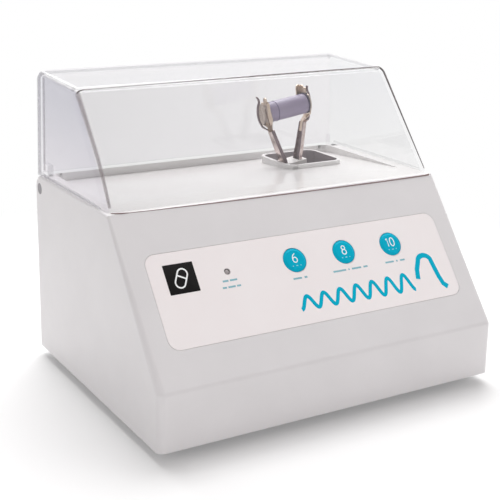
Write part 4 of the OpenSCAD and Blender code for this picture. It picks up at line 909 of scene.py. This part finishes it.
SQUARE = Vector((-74.6, 56.4, 0.0))
square = plate((16.8, 16.1), 2 * INK, 0.3, SQUARE)
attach(finished("label_square", square, ink_black, slope_frame), "chassis")
MARK_HALF, MARK_R, MARK_SEAM = 2.6, 2.7, 0.7
mark_frame = slope_frame @ Matrix.Translation(SQUARE) @ Matrix.Rotation(math.radians(62), 4, "Z")
outline = arc((MARK_HALF, 0), (MARK_R, MARK_R), -90, 90)
outline += arc((-MARK_HALF, 0), (MARK_R, MARK_R), 90, 270)
seam = [(MARK_SEAM, -MARK_R, 0), (MARK_SEAM, MARK_R, 0)]
printed(
    "label_mark", [outline + outline[:1], seam], 0.5, ink_white, place=mark_frame, thick=INK * 2.4
)


def dashes(x0, x1, s, widths, gap=0.9):
    """A row of short bars of given shares, between two places across the label."""
    scale = (x1 - x0) / (sum(widths) + gap * (len(widths) - 1))
    inset = 0.3
    runs, x = [], x0
    for width in widths:
        runs.append([(x + inset, s, 0.0), (x + width * scale - inset, s, 0.0)])
        x += (width + gap) * scale
    return runs


lamp_rows = dashes(-53.0, -44.0, 51.0, (4, 5), gap=0.3)
lamp_rows += dashes(-54.1, -42.9, 47.5, (3, 5, 3), gap=0.3)
printed("label_lamp_bars", lamp_rows, 0.5, ink_pale_teal)
KEY_ROW_S = 45.7
key_rows = dashes(-12.2, -2.9, KEY_ROW_S, (5, 2))
key_rows += dashes(13.3, 36.5, KEY_ROW_S, (8, 1.2, 6, 3))
key_rows += dashes(48.2, 62.2, KEY_ROW_S, (5, 1.2, 3))
printed("label_key_bars", key_rows, 0.5, ink_pale_teal)


# Numerals on the keys, each above a row of short bars

six = [
    arc((0, -0.95), (1.3, 1.45), 0, 360, 24),
    [(-1.3, -0.9, 0), (-1.2, 0.5, 0), (-0.6, 1.7, 0), (0.7, 2.6, 0)],
]
eight = [arc((0, -1.1), (1.35, 1.4), 0, 360, 24), arc((0, 1.35), (1.1, 1.1), 0, 360, 20)]
ten = [
    [(-2.6, 1.6, 0), (-1.7, 2.5, 0), (-1.7, -2.4, 0)],
    arc((1.2, 0.05), (1.35, 2.45), 0, 360, 28),
]
NUMERAL_UP, BAR_DOWN, BAR_HALF = 0.9, 3.4, 3.0
face_frame = slope_frame @ Matrix.Translation((0, 0, KEY_FACE))
for key, x, numeral in zip(("key_short", "key_medium", "key_long"), KEY_XS, (six, eight, ten)):
    above = [[(px + x, ps + KEY_S + NUMERAL_UP, 0.0) for px, ps, _ in run] for run in numeral]
    printed(key + "_numeral", above, 0.3, ink_white, key, face_frame)
    bars = dashes(x - BAR_HALF, x + BAR_HALF, KEY_S - BAR_DOWN, (1.2, 1.6, 1.0))
    printed(key + "_bar", bars, 0.24, ink_soft_white, key, face_frame)
